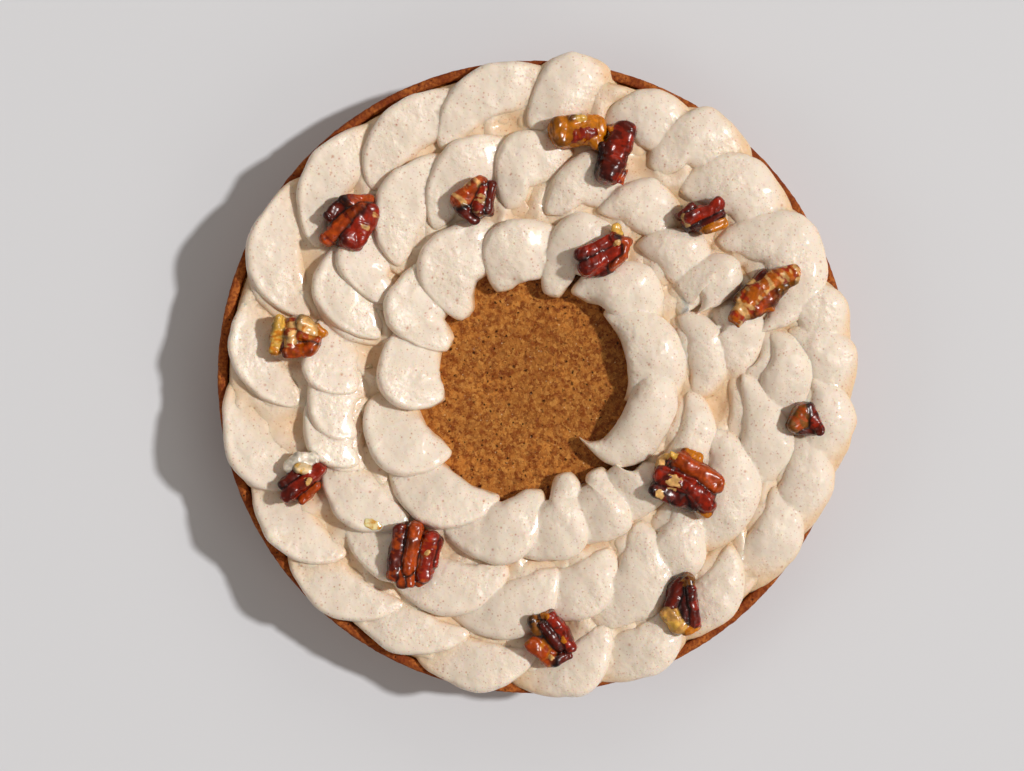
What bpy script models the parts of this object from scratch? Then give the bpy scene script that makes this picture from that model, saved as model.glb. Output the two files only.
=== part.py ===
"""Pecan tart, 24 cm across, in metres with +Z up and its origin under the middle of the crust.

A plain straight-sided crust holds a baked filling. Rings of piped cream petals lie on both, round a
bare middle, and candied pecans are pressed into the cream.
"""

import math
import random
from typing import NamedTuple

import bmesh
import bpy
from mathutils import Euler, Matrix, Vector

MM = 0.001
GAP = 0.3 * MM  # clearance between pieces that rest on each other

# Crust and filling
CRUST_RADIUS = 120 * MM
CRUST_HEIGHT = 30 * MM
WALL = 4 * MM
BASE = 4 * MM
FOOT_ROUND = 1.2 * MM
RIM_ROUND = 0.8 * MM
RIM_UNEVEN = 0.35 * MM
FILLING_TOP = 27.5 * MM
MENISCUS_HEIGHT = 0.6 * MM  # where the filling climbs the wall
MENISCUS_WIDTH = 4 * MM
ROUND_SEGMENTS = 72

# Bed of cream under the petals
BED_INNER = 52 * MM
BED_OUTER = 115 * MM
BED_TOP = 30.8 * MM
BED_SHOULDER = 2 * MM
BED_DEPTH = 1 * MM  # below the filling's top, before the seat is cut
BED_SEGMENTS = 48

# Petals
PETAL_STATIONS = 10  # along a petal, from its head to its tip
PETAL_SIDES = 6
UPPER_SIDES = 4  # of these, over its top; the rest make its flat underside
EDGE_SPLIT = 0.36  # share of the petal before its outermost point
SIDE_ROUNDING = 0.13  # share of the petal, to each side, over which the turn there is rounded
ROUNDING_FADE = 0.7  # of the distance from that turn, taken off the rounding
ROUNDING_STEPS = ((-1, 0.125), (-0.5, 0.25), (0, 0.25), (0.5, 0.25), (1, 0.125))  # place, weight
SQUARENESS = 3.0  # of the section: 2 is an ellipse
HEAD_BLUNT, TAIL_BLUNT, TOP_BLUNT = 0.5, 0.22, 0.8
END_SHARE = 0.45  # share of the petal over which its head rises, and its tail falls
HEIGHT_SPREAD = 0.5  # mm

# Pecans
NUT_STATIONS = 8
NUT_SIDES = 12
NUT_BLUNT = 0.75  # of its ends: 1 is an ellipse
NUT_TAPER = 0.12
SOCKET_CLEARANCE = 0.45 * MM
CREASE = 35  # degrees, above which an edge is shaded sharp


class Style(NamedTuple):
    """Sizes that the petals of one ring share: arcs in degrees, lengths in millimetres."""

    head_arc: float
    head_drop: float
    head_share: float
    width: float
    tip_width: float
    tip_drop: float
    taper: float
    ridge: float
    tilt: float
    thickness: float
    tail_drop: float
    head_low: float


class Nut(NamedTuple):
    """A pecan: bearing and radius of its middle, size, turn of its long axis and how it leans."""

    bearing: float
    radius: float
    length: float
    width: float
    height: float
    turn: float
    lean: float
    seat: float
    broken: float


# Each petal: bearing and radius of its outermost point, bearing and radius of its tip, fullness of
# its raised edge. Each lies over the one before it, as they were piped.
OUTER_RING = Style(15, 13, 1, 20.5, 11, 0, 1.3, 38.4, 3.5, 10.5, 2.5, 7.5)
OUTER_PETALS = (
    (12, 122.7, 22, 92, 1.8),
    (3, 123.2, 12.5, 97, 1.8),
    (351, 123.8, 362.5, 104, 1.5),
    (337, 121.6, 349.5, 100, 1.85),
    (325, 120.8, 337.5, 99, 1.7),
    (308, 118.7, 321, 97, 1.55),
    (291, 122.3, 303, 99, 1.8),
    (277, 122.7, 288, 97, 1.65),
    (258, 121.5, 272, 102, 1.5),
    (240.5, 117.5, 257.5, 98, 1.45),
    (226, 120.5, 241.5, 98, 1.45),
    (209.5, 118.5, 224.5, 96.5, 1.65),
    (191, 120.3, 206, 92, 2.2),
    (172.5, 117, 188.5, 88, 1.6),
    (149, 121.4, 166.8, 87.5, 2.1),
    (132.5, 119.4, 150.5, 94, 1.6),
    (112.5, 116.7, 132.3, 91.5, 1.8),
    (96, 120.7, 113.5, 92.3, 1.6),
)
OUTER_NARROW = OUTER_RING._replace(head_arc=9, head_drop=5, width=26)
OUTER_NARROW_PETALS = ((82.5, 124.3, 92.5, 92.5, 1.7),)
OUTER_END = OUTER_RING._replace(width=24, tip_width=14)
OUTER_END_PETALS = (
    (65, 119.6, 76, 97.5, 1.65),
    (54.5, 123.1, 64, 90, 1.85),
    (39.5, 119.5, 54.5, 89, 2.0),
)
OUTER_LAST = Style(15, 24, 1, 25, 12, 0, 1.3, 38.8, 3.5, 10.5, 2.5, 0)
OUTER_LAST_PETALS = ((26, 121.7, 39.2, 86, 1.85),)

MIDDLE_RING = Style(15, 8, 1, 21.5, 11, 0, 1.0, 40.0, 3.5, 11.5, 2.5, 7.5)
MIDDLE_PETALS = (
    (12, 90, 22, 74, 1.8),
    (0, 106.5, 12.5, 90, 1.65),
    (343, 103.3, 363, 78, 1.3),
    (325, 98.8, 346, 70, 1.85),
    (309, 97, 322, 72, 1.6),
    (293, 101.5, 309.5, 67, 2.2),
    (280, 94, 296, 70, 1.95),
    (261, 100.5, 279, 72, 1.85),
    (244, 97.8, 264, 72, 1.7),
    (229, 97, 243, 78, 1.8),
    (213.5, 91.8, 230.5, 70, 1.6),
    (195, 90, 207.5, 73, 1.85),
    (186, 86.5, 200, 70, 2.1),
    (175, 88.2, 186.5, 66, 2.2),
    (153.5, 92.3, 168.5, 60, 1.9),
    (145.5, 89, 156, 62, 1.9),
    (121.5, 95, 142.8, 65.5, 1.7),
    (106, 95.3, 126, 66.5, 1.45),
    (91.5, 94, 102.5, 63.5, 2.2),
    (74.5, 89.5, 88, 61.5, 1.45),
    (57.5, 88.5, 70.5, 66.5, 1.35),
    (38.5, 84, 54, 62.5, 1.4),
)
MIDDLE_LAST = Style(7, 12, 1, 20, 18, 0, 1.0, 40.6, 2.5, 11.5, 2.5, 0)
MIDDLE_LAST_PETALS = ((28, 89.5, 37.5, 64, 2.0),)

SHORT_RING = Style(16, 6, 1, 16, 10, 0, 1.0, 39.6, 2.5, 11, 3, 6)
SHORT_PETALS = (
    (368, 74.8, 385, 58.5, 1.7),
    (335, 73.5, 357, 58, 1.7),
)

INNER_RING = Style(20, 7, 1, 24, 11, 0, 1.5, 41.8, 4, 13, 4.5, 6.5)
INNER_PETALS = (
    (313, 68.5, 326, 52, 1.8),
    (297, 69, 310.5, 42, 2.3),
    (277, 71, 295.5, 38, 2.1),
    (255, 73, 277, 42.5, 1.95),
    (229, 70.8, 256, 46.5, 1.45),
    (204, 68.7, 225.5, 42, 1.8),
    (176, 59.8, 198.5, 34.5, 2.2),
    (147, 64.5, 168, 34, 2.1),
    (120, 66.3, 146, 34.3, 2.4),
    (93, 60.5, 117.5, 34.5, 2.3),
    (68, 66, 88, 31.5, 2.2),
    (41, 61, 69, 35, 1.45),
    (5, 59, 46, 35.5, 1.5),
)
INNER_LAST = Style(28, 18, 0.8, 20, 8, 8, 0.8, 41.6, 2, 13.0, 4, 4)
INNER_LAST_PETALS = ((335, 55.5, 369, 45, 2.2),)

RINGS = (
    (OUTER_RING, OUTER_PETALS),
    (OUTER_NARROW, OUTER_NARROW_PETALS),
    (OUTER_END, OUTER_END_PETALS),
    (OUTER_LAST, OUTER_LAST_PETALS),
    (MIDDLE_RING, MIDDLE_PETALS),
    (MIDDLE_LAST, MIDDLE_LAST_PETALS),
    (SHORT_RING, SHORT_PETALS),
    (INNER_RING, INNER_PETALS),
    (INNER_LAST, INNER_LAST_PETALS),
)

NUTS = (
    Nut(139.8, 90.3, 23, 19.5, 13, 50, 8, 40.5, 0.0),
    Nut(108.4, 70.1, 19, 15.5, 12, 60, -6, 42.5, 0.2),
    Nut(79.6, 94.0, 22, 12.5, 11, 4, 0, 41.0, 0.0),
    Nut(70.0, 89.0, 23.5, 11.5, 12, 71, 0, 41.5, 0.0),
    Nut(43.3, 87.2, 19.5, 11.5, 11, 22, 5, 40.5, 0.2),
    Nut(19.5, 91.3, 31, 13, 13, 40, 6, 41.0, 0.0),
    Nut(60.4, 51.7, 22, 14.5, 12, 28, -4, 43.0, 0.2),
    Nut(170.5, 91.1, 17, 22, 12, 82, 4, 41.0, 0.2),
    Nut(204.7, 95.7, 19, 13, 11, 42, 6, 40.0, 0.2),
    Nut(235.7, 80.9, 25.5, 21, 14, 80, 5, 42.0, 0.0),
    Nut(325.3, 68.9, 30, 22, 14, -38, -5, 43.0, 0.0),
    Nut(273.8, 97.6, 22, 16, 13, -58, 4, 40.5, 0.1),
    Nut(303.1, 101.6, 23, 14.5, 12, -82, -4, 40.0, 0.1),
    Nut(350.9, 103.0, 15, 12, 10, -50, 0, 40.5, 0.3),
)


def clear_scene():
    for obj in list(bpy.data.objects):
        bpy.data.objects.remove(obj, do_unlink=True)


def finish_for(name, colour, roughness, coat=0.0):
    """A material of the piece's own colour."""
    finish = bpy.data.materials.new(name)
    finish.use_nodes = True
    shader = finish.node_tree.nodes["Principled BSDF"]
    shader.inputs["Base Color"].default_value = (*colour, 1.0)
    shader.inputs["Roughness"].default_value = roughness
    shader.inputs["Metallic"].default_value = 0.0
    shader.inputs["Coat Weight"].default_value = coat
    return finish


def add_object(name, bm, finish=None):
    """Turns a closed bmesh into a named object, with its faces pointing out."""
    bmesh.ops.recalc_face_normals(bm, faces=bm.faces)
    if bm.calc_volume(signed=True) < 0:
        bmesh.ops.reverse_faces(bm, faces=bm.faces)
    mesh = bpy.data.meshes.new(name)
    bm.to_mesh(mesh)
    bm.free()
    obj = bpy.data.objects.new(name, mesh)
    bpy.context.scene.collection.objects.link(obj)
    if finish:
        mesh.materials.append(finish)
    return obj


def eased(value):
    """Rises smoothly from 0 to 1 as the value does, and stays there."""
    value = min(max(value, 0.0), 1.0)
    return value * value * (3 - 2 * value)


def on_bearing(bearing, radius):
    """The point at a bearing in degrees and a radius in millimetres, in metres."""
    angle = math.radians(bearing)
    return Vector((math.cos(angle), math.sin(angle))) * radius * MM


def turned(profile, segments):
    """A closed solid turned from a profile that starts and ends on the axis."""
    bm = bmesh.new()
    points = [bm.verts.new((radius, 0, height)) for radius, height in profile]
    edges = [bm.edges.new(pair) for pair in zip(points, points[1:])]
    bmesh.ops.spin(
        bm,
        geom=points + edges,
        cent=(0, 0, 0),
        axis=(0, 0, 1),
        angle=math.tau,
        steps=segments,
        use_merge=True,
    )
    bmesh.ops.remove_doubles(bm, verts=bm.verts, dist=0.01 * MM)
    return bm


def rim_height(angle):
    """How far the baked rim stands above or below its mean height."""
    waves = ((5, 0.4, 0.35), (11, 1.9, 0.35), (23, 4.1, 0.3))
    return RIM_UNEVEN * sum(share * math.sin(count * angle + shift) for count, shift, share in waves)


def lift_rim(bm):
    """Moves the top of the wall up and down as the baked rim runs."""
    for vert in bm.verts:
        if vert.co.z > CRUST_HEIGHT - 2 * RIM_ROUND:
            vert.co.z += rim_height(math.atan2(vert.co.y, vert.co.x))


def make_crust(finish):
    inner = CRUST_RADIUS - WALL
    profile = (
        (0, 0),
        (CRUST_RADIUS - FOOT_ROUND, 0),
        (CRUST_RADIUS, FOOT_ROUND),
        (CRUST_RADIUS, CRUST_HEIGHT - RIM_ROUND),
        (CRUST_RADIUS - RIM_ROUND, CRUST_HEIGHT),
        (inner + RIM_ROUND, CRUST_HEIGHT),
        (inner, CRUST_HEIGHT - RIM_ROUND),
        (inner, BASE),
        (0, BASE),
    )
    bm = turned(profile, ROUND_SEGMENTS)
    lift_rim(bm)
    return add_object("crust", bm, finish)


def make_filling(finish):
    radius = CRUST_RADIUS - WALL - GAP
    profile = (
        (0, BASE + GAP),
        (radius, BASE + GAP),
        (radius, FILLING_TOP + MENISCUS_HEIGHT),
        (radius - MENISCUS_WIDTH, FILLING_TOP),
        (0, FILLING_TOP),
    )
    return add_object("filling", turned(profile, ROUND_SEGMENTS), finish)


def edge_point(petal, style, share):
    """A point on a petal's raised edge: an arc over its head, then a full curve in to its tip."""
    peak_bearing, peak_radius, tip_bearing, tip_radius, fullness = petal
    if share < EDGE_SPLIT:
        angle = math.pi / 2 * (1 - share / EDGE_SPLIT)
        bearing = peak_bearing - style.head_arc * math.sin(angle)
        radius = peak_radius - style.head_drop * (1 - math.cos(angle))
    else:
        angle = math.pi / 2 * (share - EDGE_SPLIT) / (1 - EDGE_SPLIT)
        across = math.sin(angle) ** (2 / fullness)
        out = max(math.cos(angle), 0.0) ** (2 / fullness)
        bearing = peak_bearing + (tip_bearing - peak_bearing) * across
        radius = tip_radius + (peak_radius - tip_radius) * out
    return on_bearing(bearing, radius)


def inner_point(petal, style, share):
    """A point on a petal's other side: at its width from the edge over the head, then in to the tip."""
    peak_bearing, peak_radius, tip_bearing, tip_radius, _ = petal
    if share < EDGE_SPLIT:
        edge = edge_point(petal, style, share)
        open_share = style.head_share + (1 - style.head_share) * eased(share / EDGE_SPLIT)
        return edge * (1 - style.width * MM * open_share / edge.length)
    along = (share - EDGE_SPLIT) / (1 - EDGE_SPLIT)
    start_radius = peak_radius - style.width
    end_bearing = tip_bearing - math.degrees(style.tip_width / tip_radius)
    end_radius = tip_radius - style.tip_drop
    bearing = peak_bearing + (end_bearing - peak_bearing) * along
    radius = start_radius + (end_radius - start_radius) * along**style.taper
    return on_bearing(bearing, radius)


def side_point(curve, petal, style, share):
    """A point on one of a petal's sides, with the turn at its outermost point rounded off."""
    reach = max(SIDE_ROUNDING - ROUNDING_FADE * abs(share - EDGE_SPLIT), 0.0)
    point = Vector((0, 0))
    for at, weight in ROUNDING_STEPS:
        point += weight * curve(petal, style, share + reach * at)
    return point


def squared(value):
    """The coordinate on a squared ellipse that goes with a sine or cosine."""
    return math.copysign(abs(value) ** (2 / SQUARENESS), value)


def petal_point(petal, style, height, polar_angle, turn):
    """Where a point of a unit ball goes on the petal, from its angle from the head and round it."""
    share = ((1 - math.cos(polar_angle)) / 2 + polar_angle / math.pi) / 2
    blunt = max(math.sin(polar_angle), 0.0) ** (HEAD_BLUNT if polar_angle < math.pi / 2 else TAIL_BLUNT)
    edge = side_point(edge_point, petal, style, share)
    inner = side_point(inner_point, petal, style, share)
    sideways = squared(math.cos(turn)) * blunt
    place = (edge + inner) / 2 + (edge - inner) / 2 * sideways
    head = style.head_low * (1 - eased(share / END_SHARE))
    tail = style.tail_drop * (1 - eased((1 - share) / END_SHARE))
    lean = style.tilt * (1 - sideways) / 2 * (1 - eased(2 * share - 1) / 2)
    half = style.thickness / 2
    bulge = half * squared(math.sin(turn)) * blunt**TOP_BLUNT
    level = style.ridge + height - head - tail - lean - half + bulge
    return Vector((place.x, place.y, level * MM))


def round_petal(angle):
    """Crowds a ball's sides onto the top half of a petal, from an angle round the ball."""
    angle %= math.tau
    upper = math.tau * UPPER_SIDES / PETAL_SIDES
    if angle < upper:
        return angle * math.pi / upper
    return math.pi + (angle - upper) * math.pi / (math.tau - upper)


def petal_ball(petal, style, height):
    """A ball drawn out into one petal."""
    bm = bmesh.new()
    bmesh.ops.create_uvsphere(bm, u_segments=PETAL_SIDES, v_segments=PETAL_STATIONS, radius=1)
    for vert in bm.verts:
        polar_angle = math.acos(max(-1.0, min(1.0, vert.co.z)))
        turn = round_petal(math.atan2(vert.co.y, vert.co.x))
        vert.co = petal_point(petal, style, height, polar_angle, turn)
    return bm


def make_bed():
    """The low ring of cream that joins the petals underneath."""
    under = FILLING_TOP - BED_DEPTH
    ring = (
        (BED_INNER, under),
        (BED_OUTER, under),
        (BED_OUTER, BED_TOP - BED_SHOULDER),
        (BED_OUTER - BED_SHOULDER, BED_TOP),
        (BED_INNER + BED_SHOULDER, BED_TOP),
        (BED_INNER, BED_TOP - BED_SHOULDER),
    )
    bm = bmesh.new()
    points = [bm.verts.new((radius, 0, height)) for radius, height in ring]
    edges = [bm.edges.new((points[i - 1], points[i])) for i in range(len(points))]
    bmesh.ops.spin(
        bm,
        geom=points + edges,
        cent=(0, 0, 0),
        axis=(0, 0, 1),
        angle=math.tau,
        steps=BED_SEGMENTS,
        use_merge=True,
    )
    bmesh.ops.remove_doubles(bm, verts=bm.verts, dist=0.01 * MM)
    return bm


def make_seat():
    """What lies under the cream, with its clearance: the filling's top and the crust's rim."""
    outer = CRUST_RADIUS + GAP
    inner = CRUST_RADIUS - WALL - GAP
    rim = CRUST_HEIGHT + GAP
    meniscus = inner - GAP
    profile = (
        (0, 0),
        (outer, 0),
        (outer, rim - RIM_ROUND),
        (outer - RIM_ROUND, rim),
        (inner, rim),
        (meniscus, FILLING_TOP + MENISCUS_HEIGHT + GAP),
        (meniscus - MENISCUS_WIDTH, FILLING_TOP + GAP),
        (0, FILLING_TOP + GAP),
    )
    bm = turned(profile, ROUND_SEGMENTS)
    lift_rim(bm)
    return bm


def nut_place(nut):
    """The matrix that seats a pecan in the cream."""
    place = on_bearing(nut.bearing, nut.radius)
    turn = Euler((math.radians(nut.lean), math.radians(nut.lean) / 2, math.radians(nut.turn)))
    spot = Matrix.Translation((place.x, place.y, nut.seat * MM))
    return spot @ turn.to_matrix().to_4x4()


def lobes(turn, ridge):
    """How deep the grooves lie at an angle round a pecan: a deep one along its back, two beside it."""
    grooves = ((90, 14, 0.36), (30, 12, 0.14), (150, 12, 0.14))  # place, spread, depth
    degrees = math.degrees(turn)
    return ridge * sum(share * math.exp(-(((degrees - at) / spread) ** 2)) for at, spread, share in grooves)


def nut_point(nut, polar_angle, turn, ridge, clearance):
    """A point of a pecan half, from its angle from one end and round it."""
    along = math.cos(polar_angle)
    girth = max(math.sin(polar_angle), 0.0) ** NUT_BLUNT
    taper = girth * (1 - NUT_TAPER * along) * (1 - lobes(turn, ridge) * girth)
    if nut.broken:
        along = min(along, 1 - nut.broken)
    return Vector(
        (
            along * (nut.length / 2 * MM + clearance),
            math.cos(turn) * (taper * nut.width / 2 * MM + clearance * girth),
            math.sin(turn) * (taper * nut.height / 2 * MM + clearance * girth),
        )
    )


def nut_ball(nut, ridge=1.0, clearance=0.0):
    """A ball drawn out into a pecan, or with no ridges and a clearance into its socket."""
    bm = bmesh.new()
    bmesh.ops.create_uvsphere(bm, u_segments=NUT_SIDES, v_segments=NUT_STATIONS, radius=1)
    for vert in bm.verts:
        polar_angle = math.acos(max(-1.0, min(1.0, vert.co.z)))
        turn = math.atan2(vert.co.y, vert.co.x)
        vert.co = nut_point(nut, polar_angle, turn, ridge, clearance)
    bmesh.ops.transform(bm, matrix=nut_place(nut), verts=bm.verts)
    return bm


def apply_boolean(target, operation, others):
    """Joins or cuts a target with a collection of objects, applies it and removes them."""
    group = bpy.data.collections.new("boolean")
    bpy.context.scene.collection.children.link(group)
    for other in others:
        group.objects.link(other)
    modifier = target.modifiers.new(operation.lower(), "BOOLEAN")
    modifier.operation = operation
    modifier.solver = "MANIFOLD"
    modifier.operand_type = "COLLECTION"
    modifier.collection = group
    bpy.context.view_layer.update()
    graph = bpy.context.evaluated_depsgraph_get()
    mesh = bpy.data.meshes.new_from_object(target.evaluated_get(graph))
    target.modifiers.clear()
    target.data = mesh
    for other in others:
        bpy.data.objects.remove(other, do_unlink=True)
    bpy.data.collections.remove(group)


def shells_of(bm):
    """The connected shells of a mesh, each a list of faces."""
    left = set(bm.faces)
    shells = []
    while left:
        shell = [left.pop()]
        for face in shell:
            for edge in face.edges:
                for other in edge.link_faces:
                    if other in left:
                        left.remove(other)
                        shell.append(other)
        shells.append(shell)
    return shells


def keep_main_shell(obj):
    """Fills hollows that joining sealed and drops loose scraps."""
    bm = bmesh.new()
    bm.from_mesh(obj.data)
    shells = sorted(shells_of(bm), key=len)
    for shell in shells[:-1]:
        bmesh.ops.delete(bm, geom=shell, context="FACES")
    bm.to_mesh(obj.data)
    bm.free()


def make_cream(finish):
    draw = random.Random(4)
    petals = []
    for style, rows in RINGS:
        for petal in rows:
            height = draw.uniform(-HEIGHT_SPREAD, HEIGHT_SPREAD)
            petals.append(add_object("petal", petal_ball(petal, style, height)))
    cream = add_object("cream", make_bed(), finish)
    apply_boolean(cream, "UNION", petals)
    cutters = [add_object("seat", make_seat())]
    cutters += [add_object("socket", nut_ball(nut, ridge=0, clearance=SOCKET_CLEARANCE)) for nut in NUTS]
    apply_boolean(cream, "DIFFERENCE", cutters)
    keep_main_shell(cream)
    return cream


def main():
    clear_scene()
    baked = finish_for("baked shortcrust", (0.30, 0.12, 0.035), 0.75)
    caramel = finish_for("baked pecan filling", (0.33, 0.14, 0.04), 0.5)
    whipped = finish_for("piped cream", (0.72, 0.58, 0.42), 0.45)
    candied = finish_for("candied pecan", (0.22, 0.035, 0.012), 0.15, 1.0)
    make_crust(baked)
    make_filling(caramel)
    make_cream(whipped)
    for number, nut in enumerate(NUTS, start=1):
        add_object(f"pecan_{number:02d}", nut_ball(nut), candied)
    for obj in bpy.data.objects:
        obj.data.shade_smooth()
        obj.data.set_sharp_from_angle(angle=math.radians(CREASE))


main()
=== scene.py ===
"""Looks of a pecan tart: baked crust and filling, piped cream petals, candied pecans and caramel.

Laid out as an add-on: each piece or group of like pieces has an operator, with its sizes and
colours in a property group, and a panel in the 3D view's sidebar lists them.
"""

import math
import random
from typing import NamedTuple

import bmesh
import bpy
from bpy.props import FloatProperty, FloatVectorProperty, IntProperty, PointerProperty
from mathutils import Euler, Matrix, Vector, noise


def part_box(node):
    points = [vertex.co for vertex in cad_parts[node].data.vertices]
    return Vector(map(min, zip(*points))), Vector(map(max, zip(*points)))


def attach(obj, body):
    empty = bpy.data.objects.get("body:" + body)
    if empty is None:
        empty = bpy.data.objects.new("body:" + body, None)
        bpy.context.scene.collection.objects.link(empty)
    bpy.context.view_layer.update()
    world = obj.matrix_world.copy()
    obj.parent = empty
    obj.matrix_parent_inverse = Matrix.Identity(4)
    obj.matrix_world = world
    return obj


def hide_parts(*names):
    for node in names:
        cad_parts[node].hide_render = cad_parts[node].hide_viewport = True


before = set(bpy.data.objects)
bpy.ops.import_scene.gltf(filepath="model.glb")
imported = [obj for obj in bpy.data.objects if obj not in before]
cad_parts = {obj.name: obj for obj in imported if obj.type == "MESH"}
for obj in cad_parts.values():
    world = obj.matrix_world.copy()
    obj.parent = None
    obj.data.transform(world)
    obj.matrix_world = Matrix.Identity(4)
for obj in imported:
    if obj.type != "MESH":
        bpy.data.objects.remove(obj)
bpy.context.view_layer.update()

bl_info = {
    "name": "Pecan tart",
    "version": (1, 0, 0),
    "blender": (4, 5, 0),
    "location": "View3D > Sidebar > Tart",
    "description": "Makes the fine pieces and finishes of a pecan tart",
    "category": "Object",
}

MM = 0.001
SMOOTH = {"interpolation_type": "SMOOTHSTEP"}  # for a Map Range node

FILLING_LOW, FILLING_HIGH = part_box("filling")
FILLING_RADIUS = FILLING_HIGH.x
FILLING_TOP = 27.5 * MM
FILLING_CLIMB = 0.6 * MM  # of its edge up the wall
FILLING_SHOULDER = 4 * MM  # width of that edge
FILLING_SMOOTH = 2 * MM  # along the wall, where it has no crumb
FILLING_SPREAD = 0.5  # how much finer its mesh is in the middle
FILLING_CRUMBS = ((0.10, 1.4, 0), (0.08, 2.6, 4), (0.12, 9, 9))  # height and width in mm, shift
FILLING_PITS = (2.1, 20)  # width in mm, shift
PIT_FLOOR, PIT_DEPTH = 0.42, 1.6  # level of their noise where pits start, and how deep they are

CRUST_RADIUS = 120 * MM
WALL = 4 * MM
BASE = 4 * MM
WALL_STEP, WALL_STEPS = 0.9, 31  # mm between points up the wall, and how many there are
RIM_PROFILE = (  # mm in from the outside, and height
    (0.25, 29.4),
    (0.8, 29.9),
    (1.5, 30.05),
    (2.2, 30.0),
    (2.9, 29.95),
    (3.5, 29.75),
    (3.9, 29.2),
)
INNER_HEIGHTS = (28.4, 27.4, 26, 20, 12, 4)  # mm
RIM_LOW = 28 * MM  # height over which the rim is uneven
RIM_START = 27 * MM  # height over which the wall turns crumbly
RIM_BLEND = 2.5 * MM
RIM_WAVE = 0.35 * MM
RIM_WAVES = ((5, 0.4, 0.35), (11, 1.9, 0.35), (23, 4.1, 0.3))  # count round, shift, share
FOOT_RADIUS = 112 * MM  # inside it the crust stays smooth, and so does its foot
FOOT_HEIGHT = 0.5 * MM
FOOT_BEVEL, FOOT_EDGE = 1.2 * MM, 0.35 * MM  # size of the foot's rounding, and its middle point
BASE_RING = 60 * MM  # radius of a ring of points in the base
CRUMBS = ((1, 1.6, 0), (0.6, 0.8, 5))  # share, mm across, shift
LUMPS = (7, 3)  # of the wall: mm across, shift
WALL_SHARE, WALL_CRUMBS = 0.3, 0.5  # how rough the wall is beside the rim, and how crumbly
CRUST_SHRINK = 0.1 * MM  # that the crumbs are set back by
MERGE = 0.01 * MM  # distance at which the points of a seam are one

# Petals of cream, with the outlines and rings that the solid has
EDGE_SPLIT = 0.36  # share of the petal before its outermost point
SIDE_ROUNDING = 0.13  # share of the petal, to each side, over which the turn there is rounded
ROUNDING_FADE = 0.7  # of the distance from that turn, taken off the rounding
ROUNDING_STEPS = ((-1, 0.125), (-0.5, 0.25), (0, 0.25), (0.5, 0.25), (1, 0.125))  # place, weight
SQUARENESS = 2.9  # of a petal's section, where 2 is an ellipse
SQUARENESS_SPREAD = 0.8  # how much more it is on the left of the tart, and less on the right
LEFT_LEAN, RIGHT_LEAN = 1.35, 0.55  # how far a petal leans inward on the left, outward on the right
TILT_UNIT = 4  # mm of a ring's tilt at which a petal leans by just that
LIP = 0.9 * MM  # that the edges on the left turn up
LIP_START, LIP_SPAN = 0.5, 0.36  # of the half width: where the lip starts, and how long it rises
HEAD_BLUNT, TAIL_BLUNT, TOP_BLUNT = 0.5, 0.22, 0.8  # lower is blunter
END_SHARE = 0.45  # share of the petal over which its head rises, and its tail falls
UPPER_SHARE = 0.7  # of a petal's sides, over its top
HEIGHT_SPREAD = 0.5  # mm
WAVES = ((10, 1), (5, 0.6), (2, 0.13))  # mm across, share of the ripple
FOLD_SHIFT = (2, -2, 3, -4)  # of a lower fold's peak and tip from its petal's: degrees and mm
FOLD_WIDTH, FOLD_TIP_WIDTH = 1.25, 1.7  # of its petal's
FOLD_DROP = 3.2  # mm
BED_INNER, BED_OUTER = 52 * MM, 115 * MM
BED_TOP = 32.4 * MM
BED_SHOULDER = 2 * MM
BED_STEPS, BED_TURNS = 48, 360  # across and round
BED_FOLD = 1.7 * MM
BED_FOLDS = ((3.2, 15, 2), (0.8, 7, 7))  # share, mm across, shift
VALLEY_SHADE = (31 * MM, 35.5 * MM)  # heights over which painted shade, a darker and warmer tint low in the valleys between petals, fades out

# Pecans, in millimetres and shares
CORE_SHARE = 0.45  # of a kernel's size, for the body under its ridges
CORE_DROP = 0.4  # how low that body lies
SLOPES = ((-0.32, 0.04), (-0.14, 0.14))  # least and most rise of a ridge's top, to right and back
MOST_TILT = 1.2
TAPER = 0.2  # how much wider or narrower a ridge's end may be
CHIP_SIZE, CRAGS = 1.5, (0.55, 1.6)  # of a chip in half widths, and how much its corners stretch
ALONG_SQUARENESS, ACROSS_SQUARENESS, UP_SQUARENESS = 2.7, 2.3, 3.2  # of a ridge's end, side and top
ROD_FOOT = 3.0  # how far a ridge's straight sides reach below its kernel's middle
RAGGED_RIDGE, RAGGED_CHIP = 0.14, 0.9  # how far the edge of a skin wanders, in half widths
RAGGED_SIZE = 2.2  # of its wandering
STREAKS = ((1, 1.9, 4.5, 0), (0.35, 0.8, 1.5, 3))  # share, mm along and across, shift
STREAK_SHIFTS = (0, 17)  # of a skin's first and second streaks
STREAK_FLOOR, RARE_STREAK_FLOOR = 0.10, 0.34  # level of their noise where streaks start
STREAK_EDGE, MOST_STREAK = 0.16, 0.9  # how soft their edge is, and how strong they are
PATCHES = (4.5, 2.2, 9)  # of darker skin: mm along and across, shift
PATCH_START, PATCH_GAIN, MOST_PATCH = 0.5, 1.3, 0.28
SHADES = (3.2, 1.6, 5)  # mm along and across, shift
SHADE, SHADE_SPREAD, PALE_SPREAD, LEAST_SHADE = 0.92, 0.45, 0.12, 0.05
PALE_SKINS = set("gaywtcv")  # which have no painted groove shade beside them
GROOVE_SHADE, PALE_GROOVE_SHADE = 0.85, 0.2  # painted shade: how dark the grooves between ridges are made
GROOVE_WIDTH, GROOVE_START, GROOVE_SPAN = 0.5, 0.45, 0.4  # in half widths, as the next ones are
LOW_SHADE, LOW_START, LOW_SPAN = 0.7, 1.05, 0.35  # painted shade: how much darker a kernel's skin is made low in its dips, away from its ridges
WRINKLES, WRINKLE_SHARE = (2.2, 5.0), 0.5  # mm along and across the kernel, and how deep
CREASES, CREASE_WIDTH, CREASE_SHARE = (4.5, 7.5), 0.3, 0.6
KERNEL_LUMPS = ((2.4, 5.5), (0.3, 2.6))  # share, mm across


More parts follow.
